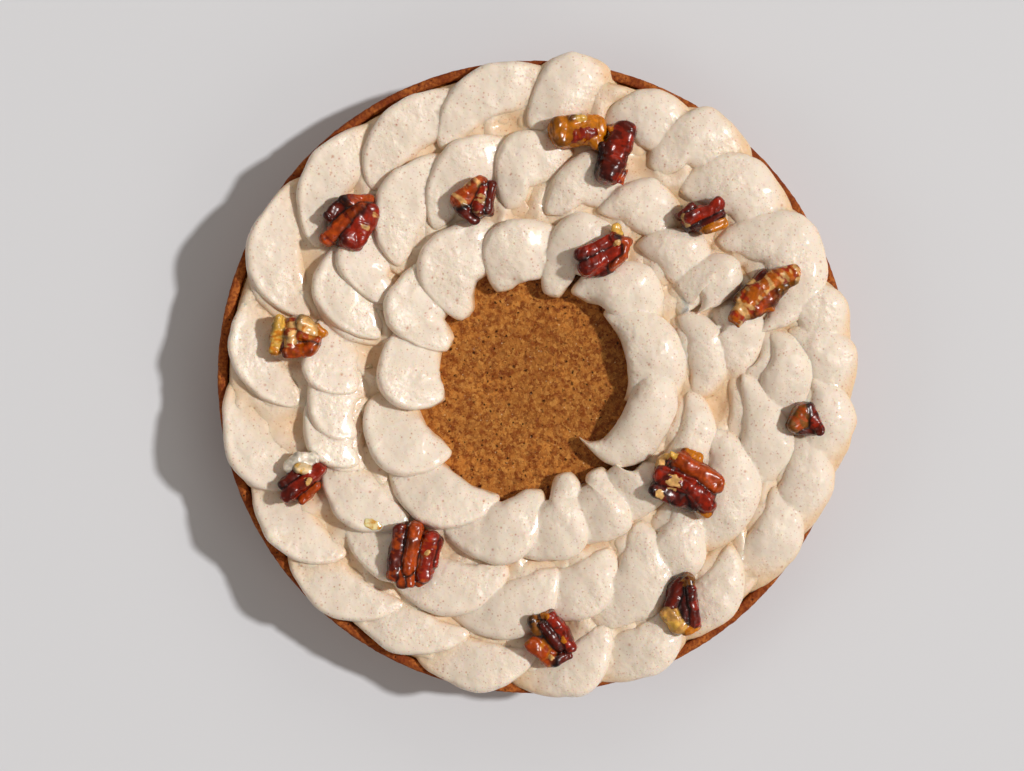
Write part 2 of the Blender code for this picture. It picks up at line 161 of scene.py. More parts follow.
class Style(NamedTuple):
    """Sizes that the petals of one ring share: arcs in degrees, lengths in millimetres."""

    head_arc: float
    head_drop: float
    head_share: float
    width: float
    tip_width: float
    tip_drop: float
    taper: float
    ridge: float
    tilt: float
    thickness: float
    tail_drop: float
    head_low: float


# Each petal: bearing and radius of its outermost point, bearing and radius of its tip, fullness of
# its raised edge. Each lies over the one before it, as they were piped.
OUTER_RING = Style(15, 13, 1, 20.5, 11, 0, 1.3, 38.4, 3.5, 10.5, 2.5, 7.5)
OUTER_PETALS = (
    (12, 122.7, 22, 92, 1.8),
    (3, 123.2, 12.5, 97, 1.8),
    (351, 123.8, 362.5, 104, 1.5),
    (337, 121.6, 349.5, 100, 1.85),
    (325, 120.8, 337.5, 99, 1.7),
    (308, 118.7, 321, 97, 1.55),
    (291, 122.3, 303, 99, 1.8),
    (277, 122.7, 288, 97, 1.65),
    (258, 121.5, 272, 102, 1.5),
    (240.5, 117.5, 257.5, 98, 1.45),
    (226, 120.5, 241.5, 98, 1.45),
    (209.5, 118.5, 224.5, 96.5, 1.65),
    (191, 120.3, 206, 92, 2.2),
    (172.5, 117, 188.5, 88, 1.6),
    (149, 121.4, 166.8, 87.5, 2.1),
    (132.5, 119.4, 150.5, 94, 1.6),
    (112.5, 116.7, 132.3, 91.5, 1.8),
    (96, 120.7, 113.5, 92.3, 1.6),
)
OUTER_NARROW = OUTER_RING._replace(head_arc=9, head_drop=5, width=26)
OUTER_NARROW_PETALS = ((82.5, 124.3, 92.5, 92.5, 1.7),)
OUTER_END = OUTER_RING._replace(width=24, tip_width=14)
OUTER_END_PETALS = (
    (65, 119.6, 76, 97.5, 1.65),
    (54.5, 123.1, 64, 90, 1.85),
    (39.5, 119.5, 54.5, 89, 2.0),
)
OUTER_LAST = Style(15, 24, 1, 25, 12, 0, 1.3, 38.8, 3.5, 10.5, 2.5, 0)
OUTER_LAST_PETALS = ((26, 121.7, 39.2, 86, 1.85),)

MIDDLE_RING = Style(15, 8, 1, 21.5, 11, 0, 1.0, 40.0, 3.5, 11.5, 2.5, 7.5)
MIDDLE_PETALS = (
    (12, 90, 22, 74, 1.8),
    (0, 106.5, 12.5, 90, 1.65),
    (343, 103.3, 363, 78, 1.3),
    (325, 98.8, 346, 70, 1.85),
    (309, 97, 322, 72, 1.6),
    (293, 101.5, 309.5, 67, 2.2),
    (280, 94, 296, 70, 1.95),
    (261, 100.5, 279, 72, 1.85),
    (244, 97.8, 264, 72, 1.7),
    (229, 97, 243, 78, 1.8),
    (213.5, 91.8, 230.5, 70, 1.6),
    (195, 90, 207.5, 73, 1.85),
    (186, 86.5, 200, 70, 2.1),
    (175, 88.2, 186.5, 66, 2.2),
    (153.5, 92.3, 168.5, 60, 1.9),
    (145.5, 89, 156, 62, 1.9),
    (121.5, 95, 142.8, 65.5, 1.7),
    (106, 95.3, 126, 66.5, 1.45),
    (91.5, 94, 102.5, 63.5, 2.2),
    (74.5, 89.5, 88, 61.5, 1.45),
    (57.5, 88.5, 70.5, 66.5, 1.35),
    (38.5, 84, 54, 62.5, 1.4),
)
MIDDLE_LAST = Style(7, 12, 1, 20, 18, 0, 1.0, 40.6, 2.5, 11.5, 2.5, 0)
MIDDLE_LAST_PETALS = ((28, 89.5, 37.5, 64, 2.0),)

SHORT_RING = Style(16, 6, 1, 16, 10, 0, 1.0, 39.6, 2.5, 11, 3, 6)
SHORT_PETALS = (
    (368, 74.8, 385, 58.5, 1.7),
    (335, 73.5, 357, 58, 1.7),
)

INNER_RING = Style(20, 7, 1, 24, 11, 0, 1.5, 41.8, 4, 13, 4.5, 6.5)
INNER_PETALS = (
    (313, 68.5, 326, 52, 1.8),
    (297, 69, 310.5, 42, 2.3),
    (277, 71, 295.5, 38, 2.1),
    (255, 73, 277, 42.5, 1.95),
    (229, 70.8, 256, 46.5, 1.45),
    (204, 68.7, 225.5, 42, 1.8),
    (176, 59.8, 198.5, 34.5, 2.2),
    (147, 64.5, 168, 34, 2.1),
    (120, 66.3, 146, 34.3, 2.4),
    (93, 60.5, 117.5, 34.5, 2.3),
    (68, 66, 88, 31.5, 2.2),
    (41, 61, 69, 35, 1.45),
    (5, 59, 46, 35.5, 1.5),
)
INNER_LAST = Style(28, 18, 0.8, 20, 8, 8, 0.8, 41.6, 2, 13.0, 4, 4)
INNER_LAST_PETALS = ((335, 55.5, 369, 45, 2.2),)

# The pieces of cream, each with its rings of petals
CREAM_PIECES = (
    (
        "cream_outer_ring",
        (
            (OUTER_RING, OUTER_PETALS),
            (OUTER_NARROW, OUTER_NARROW_PETALS),
            (OUTER_END, OUTER_END_PETALS),
            (OUTER_LAST, OUTER_LAST_PETALS),
        ),
    ),
    (
        "cream_middle_ring",
        (
            (MIDDLE_RING, MIDDLE_PETALS),
            (MIDDLE_LAST, MIDDLE_LAST_PETALS),
            (SHORT_RING, SHORT_PETALS),
        ),
    ),
    (
        "cream_inner_ring",
        (
            (INNER_RING, INNER_PETALS),
            (INNER_LAST, INNER_LAST_PETALS),
        ),
    ),
)


class Rod(NamedTuple):
    """One ridge of a pecan, or with one point a chip, in millimetres from its middle: the points it
    runs through, its width, how high its top stands, and the letters of its skin and of the streaks
    across it, where a capital is for rare ones."""

    points: tuple
    width: float
    top: float
    skin: str


class Kernel(NamedTuple):
    """A candied pecan: bearing and radius of its middle, size, turn, lean, height of its middle and
    its ridges."""

    bearing: float
    radius: float
    length: float
    width: float
    height: float
    turn: float
    lean: float
    seat: float
    rows: tuple

    @property
    def rods(self):
        return [Rod(*row) for row in self.rows]


# Skins: dark, mahogany, red, orange, brown sugar, golden, amber, yellow, walnut-coloured, tan,
# cream stained with caramel, cream
SKINS = {
    "d": "#2C0704",
    "m": "#601504",
    "r": "#962005",
    "o": "#A84208",
    "b": "#7C470E",
    "g": "#B65A08",
    "a": "#C67206",
    "y": "#DDAA4A",
    "w": "#C8924C",
    "t": "#DCAA68",
    "c": "#E4C698",
    "v": "#F0E2CE",
}
KERNELS = (
    Kernel(*(139.8, 90.3, 23, 19.5, 13, 50, 8, 40.5), rows=(
        (((-7.6, 2.0), (-2.2, 7.6)), 4.8, 5.0, "m"),
        (((-2.2, 7.6), (6.7, 8.0)), 5.0, 5.0, "or"),
        (((-8.6, -6.5), (4.7, 5.0)), 5.0, 6.5, "om"),
        (((1.5, -6.0), (6.5, 2.5)), 10.0, 6.5, "rT"),
    )),
    Kernel(*(108.4, 70.1, 19, 15.5, 12, 60, -6, 42.5), rows=(
        (((-5.7, -0.4), (1.7, 6.0)), 6.5, 6.0, "ot"),
        (((-5.0, -3.6), (-0.9, -6.8)), 5.0, 5.0, "m"),
        (((1.2, -5.0), (2.8, 3.8)), 4.2, 6.2, "rt"),
        (((4.9, -3.8), (6.4, 5.0)), 4.2, 5.5, "m"),
    )),
    Kernel(*(79.6, 94.0, 22, 12.5, 11, 4, 0, 41.0), rows=(
        (((-5.6, -0.3), (5.3, 0.6)), 12.0, 5.5, "a"),
        (((-1.5, -1.7), (4.5, -0.7)), 6.5, 5.9, "ro"),
        (((-2.4, 3.8), (1.3, 4.1)), 3.0, 5.8, "y"),
        (((4.5, -2.0), (7.0, -4.6)), 5.5, 4.6, "a"),
    )),
    Kernel(*(70.0, 89.0, 23.5, 11.5, 12, 71, 0, 41.5), rows=(
        (((3.2, 7.6), (-2.4, -7.2)), 9.8, 6.5, "mr"),
        (((0.4, -8.2),), 7.0, 4.5, "o"),
        (((-6.0, -7.0), (-4.6, 2.0)), 3.4, 3.5, "d"),
        (((-0.9, 8.8),), 4.5, 3.5, "a"),
    )),
    Kernel(*(43.3, 87.2, 19.5, 11.5, 11, 22, 5, 40.5), rows=(
        (((-5.2, -0.8), (4.9, 4.5)), 5.0, 6.0, "r"),
        (((-4.2, -4.0), (6.5, 1.3)), 3.4, 4.5, "d"),
        (((0.6, -5.1), (7.4, -2.1)), 3.6, 4.5, "a"),
        (((-7.4, 0.1), (-5.8, -2.7)), 2.2, 5.0, "t"),
        (((-9.0, 0.8), (-4.2, 4.5)), 3.0, 4.0, "m"),
    )),
    Kernel(*(19.5, 91.3, 31, 13, 13, 40, 6, 41.0), rows=(
        (((-9.9, -8.1), (-4.6, -0.1), (3.4, 6.3), (10.3, 8.7)), 6.5, 6.5, "grt"),
        (((-10.2, -1.2), (0.2, 8.4)), 3.2, 4.0, "mT"),
        (((-2.4, -4.4), (3.9, 2.5)), 4.5, 5.0, "og"),
        (((4.5, 2.5), (10.9, 6.3)), 3.8, 5.0, "ab"),
        (((9.5, 8.5), (11.3, 6.5)), 4.0, 5.5, "tO"),
        (((-9.7, -9.0),), 5.0, 5.0, "g"),
        (((-1.4, -4.9), (2.9, -5.2)), 2.2, 3.0, "g"),
    )),
    Kernel(*(60.4, 51.7, 22, 14.5, 12, 28, -4, 43.0), rows=(
        (((-8.0, 1.1), (3.8, 5.9)), 5.8, 6.0, "r"),
        (((-5.8, -4.3), (4.8, 2.1)), 6.4, 6.2, "r"),
        (((4.8, 6.4), (9.1, 5.3), (8.0, 0.0), (3.8, -3.2)), 3.6, 5.5, "o"),
        (((-7.4, -3.2), (-5.8, -6.4)), 2.0, 4.5, "t"),
        (((5.1, 4.8),), 2.2, 6.6, "t"),
        (((4.8, 11.0), (5.4, 9.0)), 4.2, 3.5, "y"),
    )),
    Kernel(*(170.5, 91.1, 17, 22, 12, 82, 4, 41.0), rows=(
        (((-7.0, -4.4), (-5.4, 7.0)), 4.6, 5.0, "ya"),
        (((-1.2, -3.4), (-0.5, 6.0)), 4.0, 6.0, "tor"),
        (((-4.5, -4.6), (-3.2, 0.7)), 2.2, 4.0, "m"),
        (((-1.8, -6.0), (5.6, -5.0), (7.4, -2.3)), 5.2, 6.0, "og"),
        (((3.2, 4.9), (6.7, 2.0)), 5.6, 6.0, "tA"),
        (((2.6, 0.4), (8.8, -1.4)), 3.0, 6.2, "oa"),
        (((8.8, 2.8), (10.4, 1.4)), 4.0, 4.5, "a"),
    )),
    Kernel(*(204.7, 95.7, 19, 13, 11, 42, 6, 40.0), rows=(
        (((-6.3, 0.1), (-0.9, 4.7)), 4.6, 5.0, "m"),
        (((-5.8, -4.5), (6.1, 5.3)), 5.0, 6.0, "r"),
        (((0.2, -6.3), (5.5, -1.1)), 3.0, 4.5, "o"),
        (((-0.6, 5.9), (2.2, 5.2)), 4.4, 6.0, "cy"),
        (((-4.8, 6.4), (-1.0, 9.0), (3.6, 9.4)), 5.4, 4.6, "v"),
        (((2.4, 1.3),), 2.4, 6.6, "t"),
    )),
    Kernel(*(235.7, 80.9, 25.5, 21, 14, 80, 5, 42.0), rows=(
        (((-7.0, -6.9), (-4.4, 9.6)), 5.5, 6.0, "mo"),
        (((-1.4, -4.8), (1.4, 10.2)), 5.0, 7.0, "o"),
        (((4.4, -7.4), (7.0, 6.2)), 6.0, 6.5, "ro"),
        (((8.2, -3.2), (9.4, 5.2)), 3.4, 4.5, "r"),
        (((-4.6, -5.6), (-3.7, -10.0)), 4.0, 5.5, "o"),
        (((-0.5, -6.4), (-0.5, -10.2)), 3.2, 5.8, "o"),
        (((2.7, -9.9), (4.8, -8.4)), 4.0, 4.8, "o"),
        (((6.2, 1.6),), 2.6, 7.0, "t"),
    )),
    Kernel(*(325.3, 68.9, 30, 22, 14, -38, -5, 43.0), rows=(
        (((-2.5, 8.2), (10.8, -0.3)), 6.8, 6.5, "o"),
        (((-5.7, 6.6), (4.6, 0.4)), 2.6, 5.0, "r"),
        (((-7.8, 5.0), (6.6, -2.6)), 2.2, 4.4, "d"),
        (((-8.7, 2.2), (1.6, -1.2), (8.4, -8.2)), 6.8, 7.0, "rm"),
        (((-11.5, -2.6), (-2.4, -6.6)), 6.2, 5.5, "dm"),
        (((6.4, -10.6), (7.6, -11.2)), 4.0, 3.4, "a"),
        (((-4.9, 0.4),), 5.2, 7.6, "t"),
        (((-9.0, -4.2),), 3.2, 6.2, "t"),
        (((-9.6, 7.2),), 3.6, 4.6, "t"),
        (((-4.6, 10.2),), 3.6, 6.6, "y"),
        (((0.5, 10.5), (4.0, 9.0)), 5.0, 2.0, "a"),
    )),
    Kernel(*(273.8, 97.6, 22, 16, 13, -58, 4, 40.5), rows=(
        (((-3.1, 4.6), (3.3, -3.4)), 3.6, 6.5, "d"),
        (((0.1, 7.6), (4.7, 1.6), (6.9, -3.6)), 5.0, 6.0, "rm"),
        (((-6.4, 6.4), (-5.4, 2.5)), 4.6, 4.8, "bd"),
        (((-6.8, -2.9), (-0.9, -7.6)), 6.6, 5.6, "oa"),
        (((1.2, -8.6), (6.5, -7.0)), 4.2, 5.0, "m"),
        (((-1.9, 8.2),), 3.0, 6.0, "a"),
        (((-0.4, -7.0),), 2.4, 6.6, "t"),
        (((4.7, -0.7),), 2.2, 6.8, "a"),
    )),
    Kernel(*(303.1, 101.6, 23, 14.5, 12, -82, -4, 40.0), rows=(
        (((2.6, 9.0), (5.2, -7.0)), 4.4, 6.0, "mr"),
        (((-0.6, 7.4), (-4.6, -0.4)), 5.6, 5.5, "m"),
        (((1.0, 8.0), (1.0, -5.5)), 5.0, 5.0, "d"),
        (((2.0, 9.2),), 5.5, 6.0, "b"),
        (((-5.2, -3.4), (-1.8, -8.0)), 6.0, 6.4, "wy"),
        (((1.4, -9.8), (5.0, -9.2)), 3.6, 4.6, "a"),
    )),
    Kernel(*(350.9, 103.0, 15, 12, 10, -50, 0, 40.5), rows=(
        (((-3.9, -1.4), (-1.0, 2.8)), 7.4, 5.5, "bo"),
        (((1.2, 4.2), (5.0, -3.8)), 4.6, 5.0, "mr"),
        (((-2.9, -4.2), (4.4, -4.6)), 3.0, 3.6, "m"),
    )),
)

# Caramel that ran off the pecans: bearing and radius of each drop, its length, width and turn
DROPS = (
    (148.0, 92.2, 4.2, 2.8, 60),
    (144.2, 82.4, 4.4, 1.8, 20),
    (222.5, 82.0, 7.2, 4.2, -20),
    (330.5, 80.0, 4.4, 2.4, -30),
)

DROP_WAVE, DROP_UNEVENNESS = 1.5 * MM, 0.25  # of a drop's outline

# Lights: bearings and heights in degrees, distances and sizes in metres. The camera has a portrait
# lens and stands a little to the front left of the middle.
KEY_PLACE, KEY_SPREAD, KEY_COLOUR = (10, 48, 2.0), 3.5, (1.0, 0.99, 0.975)
PANEL_BEARINGS, PANEL_PLACE, PANEL_SIZE = (70, 190, 310), (38, 2.2), 1.0
FILL_COLOUR = (1.0, 0.93, 0.85)
LENS = 85  # mm
CAMERA_SHIFT = (-8.3 * MM, -3.2 * MM)
FLOOR_HALF = 3.0


# ---------------------------------------------------------------- settings


def linear(colour):
    """A #RRGGBB colour as linear red, green, blue and full alpha."""
    values = [int(colour[i : i + 2], 16) / 255 for i in (1, 3, 5)]
    return (*(v / 12.92 if v <= 0.04045 else ((v + 0.055) / 1.055) ** 2.4 for v in values), 1.0)


class CrustSettings(bpy.types.PropertyGroup):
    colour: FloatVectorProperty(
        name="Crust colour",
        description="Colour of the baked pastry where it is lightest",
        subtype="COLOR",
        default=linear("#BA6A2B")[:3],
    )
    roughness: FloatProperty(
        name="Rim roughness",
        description="How far the crumbs of the baked rim stand out",
        unit="LENGTH",
        default=0.35 * MM,
    )
    segments: IntProperty(name="Segments", description="Steps round the crust", default=480)


class FillingSettings(bpy.types.PropertyGroup):
    colour: FloatVectorProperty(
        name="Filling colour",
        description="Mean colour of the baked filling",
        subtype="COLOR",
        default=linear("#B5712F")[:3],
    )
    cells: IntProperty(name="Cells", description="Cells across the filling's top", default=240)


class CreamSettings(bpy.types.PropertyGroup):
    colour: FloatVectorProperty(
        name="Cream colour",
        description="Colour of the piped cream",
        subtype="COLOR",
        default=linear("#E7D8C6")[:3],
    )
    speck: FloatVectorProperty(
        name="Speck colour",
        description="Colour of the ground nut in the cream",
        subtype="COLOR",
        default=linear("#B36135")[:3],
    )
    ripple: FloatProperty(
        name="Ripple",
        description="Height of the soft waves on a petal",
        unit="LENGTH",
        default=0.6 * MM,
    )
    sides: IntProperty(name="Sides", description="Sides round a petal", default=48)
    stations: IntProperty(name="Stations", description="Steps along a petal", default=56)


class PecanSettings(bpy.types.PropertyGroup):
    wrinkle: FloatProperty(
        name="Wrinkle",
        description="Depth of the fine wrinkles on a kernel",
        unit="LENGTH",
        default=0.4 * MM,
    )
    cell: FloatProperty(
        name="Cell",
        description="Size of a kernel's mesh cells",
        unit="LENGTH",
        default=0.36 * MM,
    )
    sink: FloatProperty(
        name="Sink",
        description="How much deeper than its middle a kernel lies in the cream",
        unit="LENGTH",
        default=3.2 * MM,
    )
    smoothing: IntProperty(name="Smoothing", description="Rounds of smoothing a kernel", default=7)


class CaramelSettings(bpy.types.PropertyGroup):
    colour: FloatVectorProperty(
        name="Caramel colour",
        description="Colour of the caramel where it is thin",
        subtype="COLOR",
        default=linear("#ECDAA2")[:3],
    )
    thickness: FloatProperty(
        name="Drop thickness",
        description="Thickness of a drop of caramel",
        unit="LENGTH",
        default=1.0 * MM,
    )


class StageSettings(bpy.types.PropertyGroup):
    floor: FloatVectorProperty(
        name="Floor colour",
        description="Colour of the plain floor",
        subtype="COLOR",
        default=linear("#D3D4D8")[:3],
    )
    key: FloatProperty(
        name="Key light",
        description="Strength of the light from the right",
        default=2.62,
    )
    fill: FloatProperty(
        name="Fill light",
        description="Strength of the even light from all round",
        default=0.22,
    )
    panels: FloatProperty(
        name="Panel lights",
        description="Power of each soft panel round the tart",
        unit="POWER",
        default=4.5,
    )
    height: FloatProperty(
        name="Camera height",
        description="Height of the camera over the table",
        unit="LENGTH",
        default=0.945,
    )


# ---------------------------------------------------------------- shared tools


def shaded(colour, share):
    """A linear colour darkened or lightened, with full alpha."""
    return (*(min(v * share, 1.0) for v in colour[:3]), 1.0)


def per_metre(size):
    """A texture's scale for a pattern whose features are this many millimetres apart."""
    return 1000 / size


def add_node(tree, kind, sockets=None, **settings):
    """Adds a node, sets its properties, and sets its sockets or links other outputs to them."""
    made = tree.nodes.new(f"ShaderNode{kind}")
    for key, value in settings.items():
        setattr(made, key, value)
    for key, value in (sockets or {}).items():
        if isinstance(value, bpy.types.NodeSocket):
            tree.links.new(value, made.inputs[key])
        else:
            made.inputs[key].default_value = value
    return made


def new_finish(name, sockets):
    """A material with a Principled shader, whose sockets are set."""
    finish = bpy.data.materials.new(name)
    finish.use_nodes = True
    tree = finish.node_tree
    shader = tree.nodes["Principled BSDF"]
    for key, value in sockets.items():
        shader.inputs[key].default_value = value
    return finish, tree, shader


def pattern(coords, size, detail=2.0, roughness=0.5):
    """The sockets of a noise whose features are this many millimetres across."""
    scale = per_metre(size)
    return {"Vector": coords, "Scale": scale, "Detail": detail, "Roughness": roughness}


def between(value, low, high, to_low=0.0, to_high=1.0):
    """The sockets that bring a value from one range into another."""
    limits = {"From Min": low, "From Max": high, "To Min": to_low, "To Max": to_high}
    return {"Value": value, **limits}


def patches(tree, coords, size, detail, limits, roughness=0.5):
    """A mask of soft patches: a noise of a size in millimetres, brought into a range."""
    field = add_node(tree, "TexNoise", pattern(coords, size, detail, roughness)).outputs["Fac"]
    return add_node(tree, "MapRange", between(field, *limits), **SMOOTH).outputs["Result"]


def stained(tree, colour, mask, tint, share=1.0):
    """A colour with a tint over it where a mask is, at this share of its full strength."""
    cover = add_node(tree, "Math", {0: mask, 1: share}, operation="MULTIPLY").outputs[0]
    return add_node(tree, "Mix", {0: cover, 6: colour, 7: tint}, data_type="RGBA").outputs[2]


def spots(tree, coords, cell, smallest, largest, chance):
    """A mask of round spots: cell and radii in millimetres, and the share of cells with one."""
    cells = add_node(tree, "TexVoronoi", {"Vector": coords, "Scale": per_metre(cell)})
    lots = add_node(tree, "SeparateColor", {"Color": cells.outputs["Color"]}).outputs
    sizes = between(lots["Red"], 0.0, 1.0, smallest / cell, largest / cell)
    size = add_node(tree, "MapRange", sizes).outputs["Result"]
    fade = between(cells.outputs["Distance"], 0.0, size, 1.0, 0.0)
    near = add_node(tree, "MapRange", fade, **SMOOTH).outputs["Result"]
    chosen = add_node(tree, "Math", {0: lots["Green"], 1: chance}, operation="LESS_THAN")
    both = {0: near, 1: chosen.outputs[0]}
    return add_node(tree, "Math", both, operation="MULTIPLY").outputs[0]


def bumped(tree, shader, layers):
    """Stacks bumps on a shader: each layer is a height and how tall it is in millimetres."""
    below = {}
    for height, tall in layers:
        sockets = {"Height": height, "Distance": tall * MM, **below}
        below = {"Normal": add_node(tree, "Bump", sockets).outputs["Normal"]}
    tree.links.new(below["Normal"], shader.inputs["Normal"])


def add_piece(name, bm, finish, slot, *nodes):
    """Turns a closed bmesh into a piece that rides on the tart and stands for its CAD nodes."""
    obj = closed_object(name, bm)
    obj.data.materials.append(finish)
    obj.data.shade_smooth()
    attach(obj, "root")
    if nodes:
        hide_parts(*nodes)


def closed_object(name, bm):
    """Turns a closed bmesh into an object, with its faces pointing out."""
    bmesh.ops.recalc_face_normals(bm, faces=bm.faces)
    if bm.calc_volume(signed=True) < 0:
        bmesh.ops.reverse_faces(bm, faces=bm.faces)
    mesh = bpy.data.meshes.new(name)
    bm.to_mesh(mesh)
    bm.free()
    obj = bpy.data.objects.new(name, mesh)
    bpy.context.scene.collection.objects.link(obj)
    return obj


def evaluated(obj):
    """An object with its modifiers applied, as a bmesh."""
    bpy.context.view_layer.update()
    bm = bmesh.new()
    bm.from_object(obj, bpy.context.evaluated_depsgraph_get())
    return bm


def discard(objects):
    for obj in objects:
        mesh = obj.data
        bpy.data.objects.remove(obj, do_unlink=True)
        bpy.data.meshes.remove(mesh)


def spun(profile, steps, closed=False):
    """A body turned from half of its section: radii and heights, from axis to axis or in a ring."""
    bm = bmesh.new()
    points = [bm.verts.new((radius, 0, height)) for radius, height in profile]
    first = 0 if closed else 1
    edges = [bm.edges.new((points[i - 1], points[i])) for i in range(first, len(points))]
    turn = {"cent": (0, 0, 0), "axis": (0, 0, 1), "angle": math.tau}
    bmesh.ops.spin(bm, geom=points + edges, steps=steps, use_merge=True, **turn)
    bmesh.ops.remove_doubles(bm, verts=bm.verts, dist=MERGE)
    return bm


def joined(name, parts):
    """The union of closed objects, as a bmesh. The objects are removed."""
    group = bpy.data.collections.new(name)
    bpy.context.scene.collection.children.link(group)
    for part in parts[1:]:
        group.objects.link(part)
    modifier = parts[0].modifiers.new("union", "BOOLEAN")
    modifier.operation = "UNION"
    modifier.solver = "MANIFOLD"
    modifier.operand_type = "COLLECTION"
    modifier.collection = group
    bm = evaluated(parts[0])
    discard(parts)
    bpy.data.collections.remove(group)
    return bm


def eased(value):
    """Rises smoothly from 0 to 1 as the value does, and stays there."""
    value = min(max(value, 0.0), 1.0)
    return value * value * (3 - 2 * value)


def on_bearing(bearing, radius):
    """The point at a bearing in degrees and a radius in millimetres, in metres."""
    angle = math.radians(bearing)
    return Vector((math.cos(angle), math.sin(angle))) * radius * MM


def grain(point, size, seed=0.0):
    """A noise from -1 to 1 at a point, whose features are this many millimetres across."""
    return noise.noise(point / (size * MM) + Vector((seed, 0.37 * seed, -0.71 * seed)))


def grains(point, layers):
    """Noises added up at a point, each with its share, size in millimetres and shift."""
    return sum(share * grain(point, size, shift) for share, size, shift in layers)


def push_out(bm, relief):
    """Moves each vertex along its normal by what a function gives for its place."""
    bm.normal_update()
    moves = [(vert, vert.normal * relief(vert.co)) for vert in bm.verts]
    for vert, move in moves:
        vert.co += move


# ---------------------------------------------------------------- crust


def crust_profile():
    """Half of the crust's section, from the middle of its base round the wall to the inside."""
    foot = [
        (0, 0),
        (BASE_RING, 0),
        (FOOT_RADIUS, 0),
        (CRUST_RADIUS - FOOT_BEVEL, 0),
        (CRUST_RADIUS - FOOT_EDGE, FOOT_EDGE),
    ]
    outer = [(CRUST_RADIUS, FOOT_BEVEL + i * WALL_STEP * MM) for i in range(WALL_STEPS)]
    rim = [(CRUST_RADIUS - depth * MM, height * MM) for depth, height in RIM_PROFILE]
    inner = [(CRUST_RADIUS - WALL, height * MM) for height in INNER_HEIGHTS]
    return foot + outer + rim + inner + [(BASE_RING, BASE), (0, BASE)]


def rim_height(angle):
    """How far the baked rim stands above or below its mean height."""
    waves = (share * math.sin(count * angle + shift) for count, shift, share in RIM_WAVES)
    return RIM_WAVE * sum(waves)


def make_crust(settings):
    bm = spun(crust_profile(), settings.segments)
    for vert in bm.verts:
        if vert.co.z > RIM_LOW:
            vert.co.z += rim_height(math.atan2(vert.co.y, vert.co.x))
    bmesh.ops.recalc_face_normals(bm, faces=bm.faces)

    def relief(place):
        if place.z < FOOT_HEIGHT or math.hypot(place.x, place.y) < FOOT_RADIUS:
            return 0.0
        rim = eased((place.z - RIM_START) / RIM_BLEND)
        crumbs = grains(place, CRUMBS)
        wall = WALL_SHARE * (1 - rim) * (grain(place, *LUMPS) + WALL_CRUMBS * crumbs)
        return settings.roughness * (rim * crumbs + wall) - CRUST_SHRINK

    push_out(bm, relief)
    add_piece("baked_crust", bm, crust_finish(settings), "crust", "crust")


def crust_finish(settings):
    """Baked shortcrust: a dry, toasted crumb, darker where it caught the heat, with painted shade
    in its pits and crannies.
    """
    finish, tree, shader = new_finish(
        "shortcrust pastry, baked",
        {"Roughness": 0.72, "IOR": 1.45, "Specular IOR Level": 0.25},
    )
    coords = add_node(tree, "TexCoord").outputs["Object"]
    toasted = patches(tree, coords, 9, 3, (0.35, 0.65))
    crumb = patches(tree, coords, 1.3, 3, (0.38, 0.62), 0.6)
    # Painted shade: near-black spots where the crumb's pits are bumped in
    pits = spots(tree, coords, 1.8, 0.2, 0.6, 0.5)
    colour = stained(tree, shaded(settings.colour, 1.0), toasted, linear("#8A3F10"))
    colour = stained(tree, colour, crumb, linear("#6B2406"), 0.7)
    colour = stained(tree, colour, pits, linear("#2A0C03"))
    tree.links.new(colour, shader.inputs["Base Color"])
    grit = add_node(tree, "TexNoise", pattern(coords, 1.2, 4, 0.6)).outputs["Fac"]
    bumped(tree, shader, ((grit, 0.7), (pits, -0.4)))
    return finish


# ---------------------------------------------------------------- filling


def disc_point(x, y, radius, spread):
    """A point of a square from -1 to 1 on a round disc, whose middle the spread draws finer."""
    if abs(x) > abs(y):
        reach, angle = x, math.pi / 4 * y / x
    elif y:
        reach, angle = y, math.pi / 2 - math.pi / 4 * x / y
    else:
        return Vector((0, 0))
    share = abs(reach)
    scale = math.copysign(share * (1 - spread) + spread * share**4, reach)
    return Vector((math.cos(angle), math.sin(angle))) * scale * radius


def make_filling(settings):
    bm = bmesh.new()
    bmesh.ops.create_grid(bm, x_segments=settings.cells, y_segments=settings.cells, size=1)
    rim = [edge for edge in bm.edges if edge.is_boundary]
    for vert in bm.verts:
        place = disc_point(vert.co.x, vert.co.y, FILLING_RADIUS, FILLING_SPREAD)
        radius = place.length
        climb = eased((radius - FILLING_RADIUS + FILLING_SHOULDER) / FILLING_SHOULDER)
        vert.co = (place.x, place.y, FILLING_TOP + FILLING_CLIMB * climb)
    for vert in bm.verts:
        if Vector(vert.co[:2]).length < FILLING_RADIUS - FILLING_SMOOTH:
            crumb = grains(vert.co, FILLING_CRUMBS)
            pit = max(grain(vert.co, *FILLING_PITS) - PIT_FLOOR, 0.0) * PIT_DEPTH
            vert.co.z += (crumb - pit) * MM
    side = bmesh.ops.extrude_edge_only(bm, edges=rim)["geom"]
    low = [vert for vert in side if isinstance(vert, bmesh.types.BMVert)]
    for vert in low:
        vert.co.z = FILLING_LOW.z
    base = [edge for edge in side if isinstance(edge, bmesh.types.BMEdge) and edge.is_boundary]
    bmesh.ops.holes_fill(bm, edges=base)
    add_piece("baked_filling", bm, filling_finish(settings), "filling", "filling")


